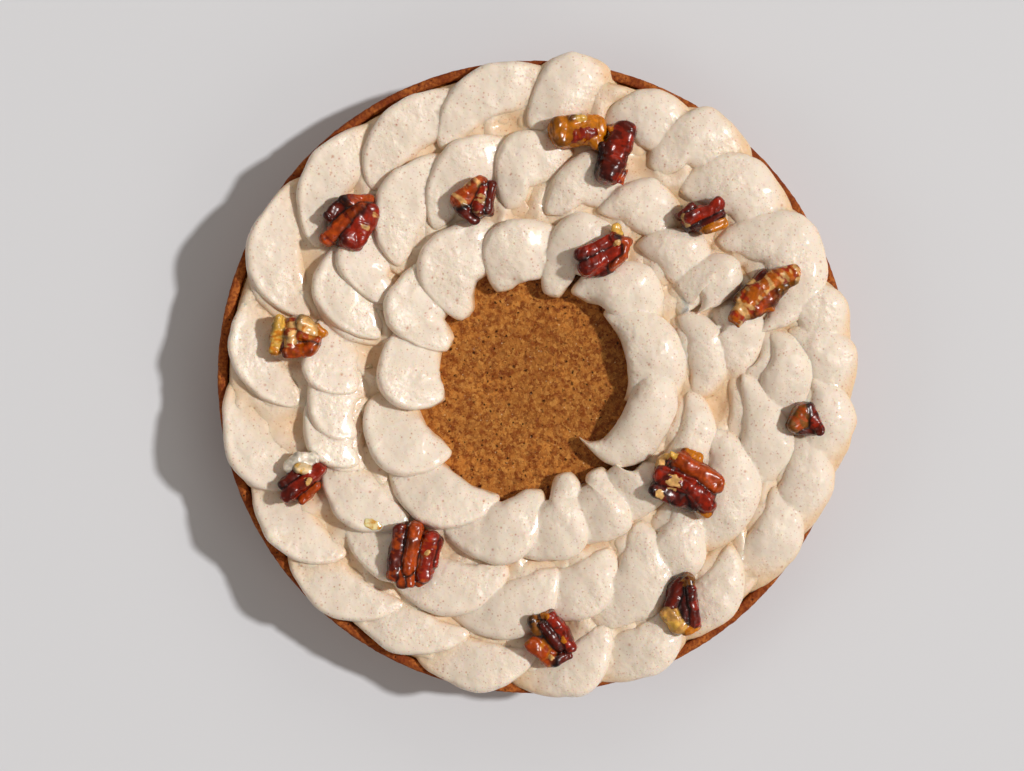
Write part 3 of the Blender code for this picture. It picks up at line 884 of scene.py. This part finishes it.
def filling_finish(settings):
    """Baked nut frangipane: a moist crumb of nut grains, with dark skin, threads, and holes
    darkened with painted shade.
    """
    finish, tree, shader = new_finish(
        "nut filling, baked",
        {"IOR": 1.45, "Specular IOR Level": 0.12, "Coat Weight": 0.3, "Coat Roughness": 0.12},
    )
    coords = add_node(tree, "TexCoord").outputs["Object"]
    wander = add_node(tree, "TexNoise", {"Vector": coords, "Scale": per_metre(1.5)})
    shift = {0: wander.outputs["Color"], 1: (1.6 * MM, 1.6 * MM, 1.6 * MM), 2: coords}
    bent = add_node(tree, "VectorMath", shift, operation="MULTIPLY_ADD").outputs[0]
    nuts = add_node(tree, "TexVoronoi", {"Vector": bent, "Scale": per_metre(1.1)})
    lots = add_node(tree, "SeparateColor", {"Color": nuts.outputs["Color"]}).outputs
    broad = patches(tree, coords, 20, 2, (0.35, 0.65))
    clumps = patches(tree, coords, 2.8, 3, (0.38, 0.60), 0.6)
    pale = add_node(tree, "MapRange", between(lots["Red"], 0.55, 1.0, 0.0, 0.55), **SMOOTH)
    dark = add_node(tree, "MapRange", between(lots["Green"], 0.6, 1.0, 0.0, 0.6), **SMOOTH)
    field = add_node(tree, "TexNoise", pattern(bent, 1.8, 1)).outputs["Fac"]
    line = add_node(tree, "Math", {0: field, 1: 0.5}, operation="SUBTRACT").outputs[0]
    line = add_node(tree, "Math", {0: line}, operation="ABSOLUTE").outputs[0]
    threads = add_node(tree, "MapRange", between(line, 0.0, 0.03, 0.45, 0.0), **SMOOTH)
    skin = spots(tree, coords, 1.5, 0.25, 0.6, 0.7)
    # Painted shade: near-black holes in the crumb, which are also bumped in
    holes = spots(tree, bent, 2.2, 0.3, 0.8, 0.6)
    bits = spots(tree, coords, 2.4, 0.2, 0.45, 0.5)
    body = settings.colour
    colour = stained(tree, shaded(body, 0.85), broad, shaded(body, 1.15))
    colour = stained(tree, linear("#86430F"), clumps, colour)
    colour = stained(tree, colour, pale.outputs["Result"], linear("#CE8F46"))
    colour = stained(tree, colour, dark.outputs["Result"], linear("#70330C"))
    colour = stained(tree, colour, threads.outputs["Result"], linear("#D49248"))
    colour = stained(tree, colour, skin, linear("#6A2C0A"), 0.8)
    colour = stained(tree, colour, holes, linear("#2A0C03"))
    colour = stained(tree, colour, bits, linear("#EBC79A"), 0.8)
    tree.links.new(colour, shader.inputs["Base Color"])
    dryness = add_node(tree, "MapRange", between(clumps, 0, 1, 0.38, 0.62), **SMOOTH)
    tree.links.new(dryness.outputs["Result"], shader.inputs["Roughness"])
    crumb = add_node(tree, "TexNoise", pattern(coords, 1.6, 4, 0.65)).outputs["Fac"]
    bumped(tree, shader, ((crumb, 0.9), (lots["Red"], 0.12), (skin, -0.2), (holes, -0.7)))
    return finish


# ---------------------------------------------------------------- cream


def edge_point(petal, style, share):
    """A point on a petal's raised edge: an arc over its head, then a full curve in to its tip."""
    peak_bearing, peak_radius, tip_bearing, tip_radius, fullness = petal
    if share < EDGE_SPLIT:
        angle = math.pi / 2 * (1 - share / EDGE_SPLIT)
        bearing = peak_bearing - style.head_arc * math.sin(angle)
        radius = peak_radius - style.head_drop * (1 - math.cos(angle))
    else:
        angle = math.pi / 2 * (share - EDGE_SPLIT) / (1 - EDGE_SPLIT)
        across = math.sin(angle) ** (2 / fullness)
        out = max(math.cos(angle), 0.0) ** (2 / fullness)
        bearing = peak_bearing + (tip_bearing - peak_bearing) * across
        radius = tip_radius + (peak_radius - tip_radius) * out
    return on_bearing(bearing, radius)


def inner_point(petal, style, share):
    """A point on a petal's other side: its width from the edge over the head, then to the tip."""
    peak_bearing, peak_radius, tip_bearing, tip_radius, _ = petal
    if share < EDGE_SPLIT:
        edge = edge_point(petal, style, share)
        open_share = style.head_share + (1 - style.head_share) * eased(share / EDGE_SPLIT)
        return edge * (1 - style.width * MM * open_share / edge.length)
    along = (share - EDGE_SPLIT) / (1 - EDGE_SPLIT)
    start_radius = peak_radius - style.width
    end_bearing = tip_bearing - math.degrees(style.tip_width / tip_radius)
    end_radius = tip_radius - style.tip_drop
    bearing = peak_bearing + (end_bearing - peak_bearing) * along
    radius = start_radius + (end_radius - start_radius) * along**style.taper
    return on_bearing(bearing, radius)


def side_point(curve, petal, style, share):
    """A point on one of a petal's sides, with the turn at its outermost point rounded off."""
    reach = max(SIDE_ROUNDING - ROUNDING_FADE * abs(share - EDGE_SPLIT), 0.0)
    point = Vector((0, 0))
    for at, weight in ROUNDING_STEPS:
        point += weight * curve(petal, style, share + reach * at)
    return point


def squared(value, squareness):
    """The coordinate on a squared ellipse that goes with a sine or cosine."""
    return math.copysign(abs(value) ** (2 / squareness), value)


def petal_point(petal, style, height, polar_angle, turn):
    """Where a point of a unit ball goes on the petal, from its angle from the head and round it."""
    share = ((1 - math.cos(polar_angle)) / 2 + polar_angle / math.pi) / 2
    bluntness = HEAD_BLUNT if polar_angle < math.pi / 2 else TAIL_BLUNT
    blunt = max(math.sin(polar_angle), 0.0) ** bluntness
    edge = side_point(edge_point, petal, style, share)
    inner = side_point(inner_point, petal, style, share)
    leftness = -edge.x / edge.length
    squareness = SQUARENESS + SQUARENESS_SPREAD * leftness
    sideways = squared(math.cos(turn), squareness) * blunt
    place = (edge + inner) / 2 + (edge - inner) / 2 * sideways
    head = style.head_low * (1 - eased(share / END_SHARE))
    tail = style.tail_drop * (1 - eased((1 - share) / END_SHARE))
    lean = LEFT_LEAN * (1 - sideways) * (1 + leftness)
    lean += RIGHT_LEAN * (1 + sideways) * (1 - leftness)
    lean *= style.tilt / TILT_UNIT * (1 - eased(2 * share - 1) / 2)
    half = style.thickness / 2
    bulge = half * squared(math.sin(turn), squareness) * blunt**TOP_BLUNT
    level = style.ridge + height - head - tail - lean - half + bulge
    lip = LIP * (1 + leftness) / 2 * eased((sideways - LIP_START) / LIP_SPAN) * eased(bulge / half)
    return Vector((place.x, place.y, level * MM + lip))


def round_petal(angle):
    """Crowds a ball's sides onto the top of a petal, from an angle round the ball."""
    angle %= math.tau
    upper = math.tau * UPPER_SHARE
    if angle < upper:
        return angle * math.pi / upper
    return math.pi + (angle - upper) * math.pi / (math.tau - upper)


def petal_ball(petal, style, height, settings):
    """A ball drawn out into one petal, with soft waves on it."""
    bm = bmesh.new()
    bmesh.ops.create_uvsphere(bm, u_segments=settings.sides, v_segments=settings.stations, radius=1)
    for vert in bm.verts:
        polar_angle = math.acos(max(-1.0, min(1.0, vert.co.z)))
        turn = round_petal(math.atan2(vert.co.y, vert.co.x))
        vert.co = petal_point(petal, style, height, polar_angle, turn)
    bmesh.ops.recalc_face_normals(bm, faces=bm.faces)
    if bm.calc_volume(signed=True) < 0:
        bmesh.ops.reverse_faces(bm, faces=bm.faces)
    seed = petal[0]

    def relief(place):
        return settings.ripple * sum(share * grain(place, size, seed) for size, share in WAVES)

    push_out(bm, relief)
    return bm


def make_bed():
    """The low ring of cream that shows in the gaps between petals."""
    width = BED_OUTER - BED_INNER
    ring = [(BED_INNER, FILLING_TOP), (BED_OUTER, FILLING_TOP)]
    for step in range(BED_STEPS + 1):
        radius = BED_OUTER - width * step / BED_STEPS
        edge = min(radius - BED_INNER, BED_OUTER - radius)
        drop = BED_SHOULDER * (1 - eased(edge / BED_SHOULDER))
        ring.append((radius, BED_TOP - drop))
    bm = spun(ring, BED_TURNS, closed=True)
    for vert in bm.verts:
        if vert.co.z > BED_TOP - BED_SHOULDER:
            fold = 1.0
            for share, size, shift in BED_FOLDS:
                fold -= share * abs(grain(vert.co, size, shift))
            vert.co.z += BED_FOLD * fold
    return bm


def tucked(petal, style):
    """A petal's wider lower fold, which fills the gap on its inner side."""
    low = style._replace(
        width=style.width * FOLD_WIDTH,
        ridge=style.ridge - FOLD_DROP,
        tip_width=style.tip_width * FOLD_TIP_WIDTH,
    )
    return (*(place + shift for place, shift in zip(petal, FOLD_SHIFT)), petal[-1]), low


def make_cream(settings):
    draw = random.Random(4)
    finish = cream_finish(settings)
    add_piece("cream_bed", make_bed(), finish, "cream", "cream")
    for name, rings in CREAM_PIECES:
        petals = []
        for style, rows in rings:
            for petal in rows:
                height = draw.uniform(-HEIGHT_SPREAD, HEIGHT_SPREAD)
                folds = [(petal, style)]
                if style not in (INNER_RING, INNER_LAST):
                    folds.append(tucked(petal, style))
                for fold in folds:
                    petals.append(closed_object("petal", petal_ball(*fold, height, settings)))
        add_piece(name, joined("petals", petals), finish, "cream", "cream")


def cream_finish(settings):
    """Whipped cream with ground nut, piped: aerated and soft, with wet patches, lit depth and
    painted shade low in its valleys.
    """
    finish, tree, shader = new_finish(
        "whipped cream, piped",
        {
            "IOR": 1.45,
            "Subsurface Weight": 0.5,
            "Subsurface Radius": (1.0, 0.55, 0.3),
            "Subsurface Scale": 2.4 * MM,
            "Coat Roughness": 0.12,
            "Coat IOR": 1.4,
        },
    )
    coords = add_node(tree, "TexCoord").outputs["Object"]
    body = settings.colour
    broad = patches(tree, coords, 16, 3, (0.35, 0.65))
    colour = stained(tree, shaded(body, 0.97), broad, shaded(body, 1.03))
    # Painted shade: the cream is darker and warmer low down, in the valleys between petals where
    # shade and warm bounce fall
    level = add_node(tree, "SeparateXYZ", {"Vector": coords}).outputs["Z"]
    above = add_node(tree, "MapRange", between(level, *VALLEY_SHADE), **SMOOTH).outputs["Result"]
    colour = stained(tree, linear("#DFBD96"), above, colour)
    fine = spots(tree, coords, 1.0, 0.15, 0.40, 0.8)
    middling = spots(tree, coords, 1.7, 0.25, 0.60, 0.8)
    large = spots(tree, coords, 3.6, 0.45, 0.95, 0.35)
    for mask, share in ((fine, 0.5), (middling, 0.66), (large, 0.66)):
        colour = stained(tree, colour, mask, (*settings.speck, 1.0), share)
    tree.links.new(colour, shader.inputs["Base Color"])
    wet = patches(tree, coords, 16, 3, (0.42, 0.60))
    for socket, dry_value, wet_value in (("Roughness", 0.55, 0.38), ("Coat Weight", 0.05, 0.6)):
        gloss = add_node(tree, "MapRange", between(wet, 0, 1, dry_value, wet_value), **SMOOTH)
        tree.links.new(gloss.outputs["Result"], shader.inputs[socket])
    pits = spots(tree, coords, 3.3, 0.3, 0.8, 0.6)
    bubbles = spots(tree, coords, 1.7, 0.15, 0.4, 0.5)
    swell = add_node(tree, "TexNoise", pattern(coords, 6.0, 2, 0.45)).outputs["Fac"]
    wrinkles = add_node(tree, "TexNoise", pattern(coords, 2.2, 3)).outputs["Fac"]
    wrinkles = add_node(tree, "Math", {0: wet, 1: wrinkles}, operation="MULTIPLY").outputs[0]
    bumped(tree, shader, ((swell, 0.8), (wrinkles, 0.5), (pits, -0.16), (bubbles, -0.05)))
    return finish


# ---------------------------------------------------------------- pecans


def kernel_core(kernel):
    """The body under a kernel's ridges, seated in the cream."""
    bm = bmesh.new()
    bmesh.ops.create_icosphere(bm, subdivisions=3, radius=1)
    size = Vector((kernel.length, kernel.width, kernel.height)) * CORE_SHARE
    lean = math.radians(kernel.lean)
    turn = Euler((lean, lean / 2, math.radians(kernel.turn)))
    for vert in bm.verts:
        vert.co = vert.co * size + Vector((0, 0, -CORE_DROP))
    bmesh.ops.rotate(bm, cent=(0, 0, 0), matrix=turn.to_matrix(), verts=bm.verts)
    return bm


def add_rod(bm, rod, draw):
    """Adds a ridge to a mesh in millimetres: capsules with straight sides, or a craggy chip."""
    half = rod.width / 2
    middle = rod.top - half
    slope = Vector([draw.uniform(*limits) for limits in SLOPES])
    taper = draw.uniform(-TAPER, TAPER)
    if len(rod.points) == 1:
        chip = bmesh.ops.create_cube(bm, size=CHIP_SIZE)["verts"]
        turn = Matrix.Rotation(draw.uniform(0, math.pi), 3, "Z")
        for vert in chip:
            crag = Vector([draw.uniform(*CRAGS) for _ in range(3)])
            place = turn @ (vert.co * crag) * half
            vert.co = (place.x + rod.points[0][0], place.y + rod.points[0][1], middle + place.z)
        return
    for start, end in zip(rod.points, rod.points[1:]):
        run = Vector(end) - Vector(start)
        ahead = run.normalized()
        side = ahead.orthogonal()
        for vert in bmesh.ops.create_icosphere(bm, subdivisions=3, radius=1)["verts"]:
            across = Vector(vert.co[:2])
            forward = ahead * squared(across.dot(ahead), ALONG_SQUARENESS)
            across = forward + side * squared(across.dot(side), ACROSS_SQUARENESS)
            far = across.dot(run) > 0
            place = Vector(end if far else start) + across * half * (1 + (taper if far else -taper))
            drop = 0 if vert.co.z > 0 else max(middle + ROD_FOOT - half, 0)
            rise = squared(vert.co.z, UP_SQUARENESS) * half
            tilt = slope.dot(place - (Vector(start) + Vector(end)) / 2) if rise > 0 else 0
            tilt = max(min(tilt, MOST_TILT), -MOST_TILT)
            vert.co = (place.x, place.y, middle + rise + tilt - drop)


def rod_distance(rod, place):
    """How far a point is from a ridge's line, as a share of its half width."""
    flat = Vector(place[:2])
    nearest = 1e9
    for start, end in zip(rod.points, rod.points[1:] or rod.points):
        out, run = flat - Vector(start), Vector(end) - Vector(start)
        share = max(0.0, min(1.0, out.dot(run) / run.length_squared)) if run.length else 0.0
        nearest = min(nearest, (out - run * share).length)
    height = place[2] - (rod.top - rod.width / 2)
    return math.hypot(nearest, max(height, 0.0)) / (rod.width / 2)


def skin_of(letter):
    return Vector(linear(SKINS[letter.lower()])[:3])


def skin_colour(kernel, place, seed):
    """The colour of a point of a kernel, in millimetres: its ridge's, streaked, with painted shade
    in grooves and dips.
    """
    rods = kernel.rods
    ranks = []
    for index, rod in enumerate(rods):
        ragged = RAGGED_RIDGE if len(rod.points) > 1 else RAGGED_CHIP
        wander = ragged * grain(place * MM, RAGGED_SIZE, seed + index)
        ranks.append((rod_distance(rod, place) + wander, index))
    ranks.sort()
    nearest, index = ranks[0]
    rod = rods[index]
    ground, *streaks = rod.skin
    run = Vector(rod.points[-1]) - Vector(rod.points[0])
    run = run.normalized() if run.length else Vector((1, 0))
    along, across = run.dot(Vector(place[:2])), run.orthogonal().dot(Vector(place[:2]))

    def bands(length, width, shift):
        """A noise whose features have this length along the ridge and this width over it."""
        return noise.noise(Vector((along / length, across / width, seed + shift)))

    colour = skin_of(ground)
    for letter, first in zip(streaks, STREAK_SHIFTS):
        streak = 0.0
        for share, length, width, shift in STREAKS:
            streak += share * bands(length, width, first + shift)
        floor = RARE_STREAK_FLOOR if letter.isupper() else STREAK_FLOOR
        cover = MOST_STREAK * eased((streak - floor) / STREAK_EDGE)
        colour = colour.lerp(skin_of(letter), cover)
    if ground in "dmro":
        patch = eased(PATCH_START + PATCH_GAIN * bands(*PATCHES))
        colour = colour.lerp(skin_of("d" if ground in "mr" else "r"), MOST_PATCH * patch)
    shade = SHADE + (PALE_SPREAD if ground in "ay" else SHADE_SPREAD) * bands(*SHADES)
    if len(rod.points) > 1:
        # Painted shade: darker in the grooves between ridges, and low in the dips away from them
        ridges = (rank for rank, i in ranks[1:] if len(rods[i].points) > 1)
        other = min(ridges, default=nearest + 1)
        pale = PALE_SKINS & {ground, rods[ranks[1][1]].skin[0]}
        beside = 1 - eased((other - nearest) / GROOVE_WIDTH)
        beside *= eased((nearest - GROOVE_START) / GROOVE_SPAN)
        shade *= 1 - (PALE_GROOVE_SHADE if pale else GROOVE_SHADE) * beside
        shade *= 1 - LOW_SHADE * eased((nearest - LOW_START) / LOW_SPAN)
    return (*(colour * max(shade, LEAST_SHADE)), 1.0)


def remeshed(bm, cell):
    """The outside of overlapping closed shells as one even mesh, with cells of this size."""
    obj = closed_object("kernel", bm)
    modifier = obj.modifiers.new("remesh", "REMESH")
    modifier.mode = "VOXEL"
    modifier.voxel_size = cell
    whole = evaluated(obj)
    discard([obj])
    return whole


def make_kernel(number, kernel, settings, finish):
    draw = random.Random(number)
    seed = 3.1 * number
    bm = kernel_core(kernel)
    for rod in kernel.rods:
        add_rod(bm, rod, draw)
    bmesh.ops.scale(bm, vec=(MM, MM, MM), verts=bm.verts)
    bm = remeshed(bm, settings.cell)
    axes = {"use_axis_x": True, "use_axis_y": True, "use_axis_z": True}
    for _ in range(settings.smoothing):
        bmesh.ops.smooth_vert(bm, verts=bm.verts, factor=0.5, **axes)
    turn = Matrix.Rotation(-math.radians(kernel.turn), 3, "Z")

    def relief(place):
        x, y, z = turn @ place / MM
        along, across = WRINKLES
        wrinkles = noise.noise(Vector((x / along, y / across, z / across + seed)))
        along, across = CREASES
        near, second = noise.voronoi(Vector((x / along, y / across, z / across + seed)))[0][:2]
        crease = 1 - eased((second - near) / CREASE_WIDTH)
        lumps = sum(share * grain(place, size, seed) for share, size in KERNEL_LUMPS)
        return settings.wrinkle * (WRINKLE_SHARE * wrinkles + lumps - CREASE_SHARE * crease)

    push_out(bm, relief)
    skin = bm.verts.layers.float_color.new("skin")
    for vert in bm.verts:
        vert[skin] = skin_colour(kernel, vert.co / MM, seed)
    seat = (*on_bearing(kernel.bearing, kernel.radius), kernel.seat * MM - settings.sink)
    bmesh.ops.translate(bm, vec=seat, verts=bm.verts)
    name = f"pecan_{number:02d}"
    add_piece(f"candied_{name}", bm, finish, "pecan", name)


def make_pecans(settings):
    finish = pecan_finish()
    for number, kernel in enumerate(KERNELS, start=1):
        make_kernel(number, kernel, settings, finish)


def pecan_finish():
    """Candied pecan: a wrinkled skin under clear boiled sugar, tan where the nut is broken."""
    finish, tree, shader = new_finish(
        "pecan kernel, candied",
        {
            "Roughness": 0.5,
            "IOR": 1.5,
            "Specular IOR Level": 0.0,
            "Coat Weight": 1.0,
            "Coat Roughness": 0.27,
            "Coat IOR": 1.42,
            "Subsurface Weight": 0.15,
            "Subsurface Radius": (1.0, 0.35, 0.1),
            "Subsurface Scale": 1.2 * MM,
        },
    )
    coords = add_node(tree, "TexCoord").outputs["Object"]
    skin = add_node(tree, "Attribute", attribute_name="skin").outputs["Color"]
    fine = patches(tree, coords, 1.6, 3, (0.35, 0.65, 0.82, 1.15))
    shades = {0: 1.0, 6: skin, 7: fine}
    colour = add_node(tree, "Mix", shades, data_type="RGBA", blend_type="MULTIPLY").outputs[2]
    tree.links.new(colour, shader.inputs["Base Color"])
    lumps = add_node(tree, "TexNoise", pattern(coords, 3.4)).outputs["Fac"]
    wrinkles = add_node(tree, "TexNoise", pattern(coords, 1.2)).outputs["Fac"]
    bumped(tree, shader, ((lumps, 0.35), (wrinkles, 0.07)))
    return finish


# ---------------------------------------------------------------- caramel


def cream_level(x, y):
    """The height of the cream's top at a place."""
    top = FILLING_TOP
    for name, _ in CREAM_PIECES:
        hit, place, _, _ = bpy.data.objects[name].ray_cast((x, y, 1.0), (0, 0, -1))
        if hit:
            top = max(top, place.z)
    return top


def make_caramel(settings):
    bm = bmesh.new()
    for bearing, radius, length, width, turn in DROPS:
        middle = on_bearing(bearing, radius)
        spin = Matrix.Rotation(math.radians(turn), 2)
        drop = bmesh.ops.create_uvsphere(bm, u_segments=32, v_segments=16, radius=0.5)
        for vert in drop["verts"]:
            flat = spin @ Vector((vert.co.x * length, vert.co.y * width)) * MM
            wave = noise.noise(Vector((flat.x, flat.y, bearing * MM)) / DROP_WAVE)
            flat *= 1 + DROP_UNEVENNESS * wave
            level = cream_level(middle.x + flat.x, middle.y + flat.y)
            vert.co = (middle.x + flat.x, middle.y + flat.y, level + vert.co.z * settings.thickness)
    add_piece("caramel_drops", bm, caramel_finish(settings), "pecan")


def caramel_finish(settings):
    """Caramel, boiled and run thin: a clear golden syrup with a wet gloss and lit depth."""
    finish, tree, shader = new_finish(
        "caramel, boiled",
        {
            "Roughness": 0.2,
            "IOR": 1.5,
            "Coat Weight": 1.0,
            "Coat Roughness": 0.08,
            "Coat IOR": 1.45,
            "Subsurface Weight": 0.4,
            "Subsurface Radius": (1.0, 0.6, 0.2),
            "Subsurface Scale": 2 * MM,
        },
    )
    coords = add_node(tree, "TexCoord").outputs["Object"]
    depth = patches(tree, coords, 2.4, 2, (0.35, 0.65))
    colour = stained(tree, shaded(settings.colour, 1.0), depth, linear("#C98A1C"))
    tree.links.new(colour, shader.inputs["Base Color"])
    waves = add_node(tree, "TexNoise", pattern(coords, 1.6)).outputs["Fac"]
    bumped(tree, shader, ((waves, 0.15),))
    return finish


# ---------------------------------------------------------------- stage


def make_floor(settings):
    bm = bmesh.new()
    bmesh.ops.create_grid(bm, x_segments=1, y_segments=1, size=FLOOR_HALF)
    mesh = bpy.data.meshes.new("floor")
    bm.to_mesh(mesh)
    bm.free()
    floor = bpy.data.objects.new("floor", mesh)
    bpy.context.scene.collection.objects.link(floor)
    sockets = {"Base Color": (*settings.floor, 1.0), "Roughness": 0.6}
    mesh.materials.append(new_finish("plaster, painted matt", sockets)[0])


def aimed_light(name, kind, azimuth, elevation, distance):
    """A light aimed at the tart's middle, from a bearing and height in degrees, metres away."""
    light = bpy.data.lights.new(name, kind)
    lamp = bpy.data.objects.new(name, light)
    bpy.context.scene.collection.objects.link(lamp)
    turn, rise = math.radians(azimuth), math.radians(elevation)
    out = Vector((math.cos(rise) * math.cos(turn), math.cos(rise) * math.sin(turn), math.sin(rise)))
    lamp.location = out * distance
    lamp.rotation_euler = (-out).to_track_quat("-Z", "Y").to_euler()
    return light


def make_lights(settings):
    key = aimed_light("key", "SUN", *KEY_PLACE)
    key.energy = settings.key
    key.angle = math.radians(KEY_SPREAD)
    key.color = KEY_COLOUR
    for azimuth in PANEL_BEARINGS:
        panel = aimed_light(f"panel_{azimuth}", "AREA", azimuth, *PANEL_PLACE)
        panel.shape = "SQUARE"
        panel.size = PANEL_SIZE
        panel.color = FILL_COLOUR
        panel.energy = settings.panels
    world = bpy.data.worlds.new("studio")
    bpy.context.scene.world = world
    world.use_nodes = True
    sky = world.node_tree.nodes["Background"]
    sky.inputs["Color"].default_value = (*FILL_COLOUR, 1.0)
    sky.inputs["Strength"].default_value = settings.fill


def make_camera(settings):
    lens = bpy.data.cameras.new("camera")
    lens.lens = LENS
    camera = bpy.data.objects.new("camera", lens)
    bpy.context.scene.collection.objects.link(camera)
    camera.location = (*CAMERA_SHIFT, settings.height)
    bpy.context.scene.camera = camera


# ---------------------------------------------------------------- operators


class TART_OT_crust(bpy.types.Operator):
    """Bakes the crust: a straight-sided wall with a crumbly rim"""

    bl_idname = "tart.crust"
    bl_label = "Crust"

    def execute(self, context):
        make_crust(context.scene.tart_crust)
        return {"FINISHED"}


class TART_OT_filling(bpy.types.Operator):
    """Bakes the filling: a level, speckled crumb"""

    bl_idname = "tart.filling"
    bl_label = "Filling"

    def execute(self, context):
        make_filling(context.scene.tart_filling)
        return {"FINISHED"}


class TART_OT_cream(bpy.types.Operator):
    """Pipes the cream: three rings of overlapping petals on a low bed"""

    bl_idname = "tart.cream"
    bl_label = "Cream"

    def execute(self, context):
        make_cream(context.scene.tart_cream)
        return {"FINISHED"}


class TART_OT_pecans(bpy.types.Operator):
    """Sets the candied pecans into the cream"""

    bl_idname = "tart.pecans"
    bl_label = "Pecans"

    def execute(self, context):
        make_pecans(context.scene.tart_pecans)
        return {"FINISHED"}


class TART_OT_caramel(bpy.types.Operator):
    """Lets caramel run off the pecans in thin drops"""

    bl_idname = "tart.caramel"
    bl_label = "Caramel"

    def execute(self, context):
        make_caramel(context.scene.tart_caramel)
        return {"FINISHED"}


class TART_OT_stage(bpy.types.Operator):
    """Sets up the floor, the lights and the camera"""

    bl_idname = "tart.stage"
    bl_label = "Stage"

    def execute(self, context):
        settings = context.scene.tart_stage
        make_floor(settings)
        make_lights(settings)
        make_camera(settings)
        context.scene.view_settings.view_transform = "Standard"
        return {"FINISHED"}


class TART_PT_panel(bpy.types.Panel):
    """Lists the tart's pieces with their settings"""

    bl_idname = "TART_PT_panel"
    bl_label = "Pecan tart"
    bl_space_type = "VIEW_3D"
    bl_region_type = "UI"
    bl_category = "Tart"

    def draw(self, context):
        for name in STEPS:
            box = self.layout.box()
            box.operator(f"tart.{name}")
            settings = getattr(context.scene, f"tart_{name}")
            for key in settings.__annotations__:
                box.prop(settings, key)


SETTINGS = {
    "crust": CrustSettings,
    "filling": FillingSettings,
    "cream": CreamSettings,
    "pecans": PecanSettings,
    "caramel": CaramelSettings,
    "stage": StageSettings,
}
STEPS = tuple(SETTINGS)
CLASSES = (
    *SETTINGS.values(),
    TART_OT_crust,
    TART_OT_filling,
    TART_OT_cream,
    TART_OT_pecans,
    TART_OT_caramel,
    TART_OT_stage,
    TART_PT_panel,
)


def register():
    for cls in CLASSES:
        bpy.utils.register_class(cls)
    for name, group in SETTINGS.items():
        setattr(bpy.types.Scene, f"tart_{name}", PointerProperty(type=group))


def unregister():
    for name in STEPS:
        delattr(bpy.types.Scene, f"tart_{name}")
    for cls in reversed(CLASSES):
        bpy.utils.unregister_class(cls)


def main():
    register()
    for name in STEPS:
        getattr(bpy.ops.tart, name)()


if __name__ == "__main__":
    main()
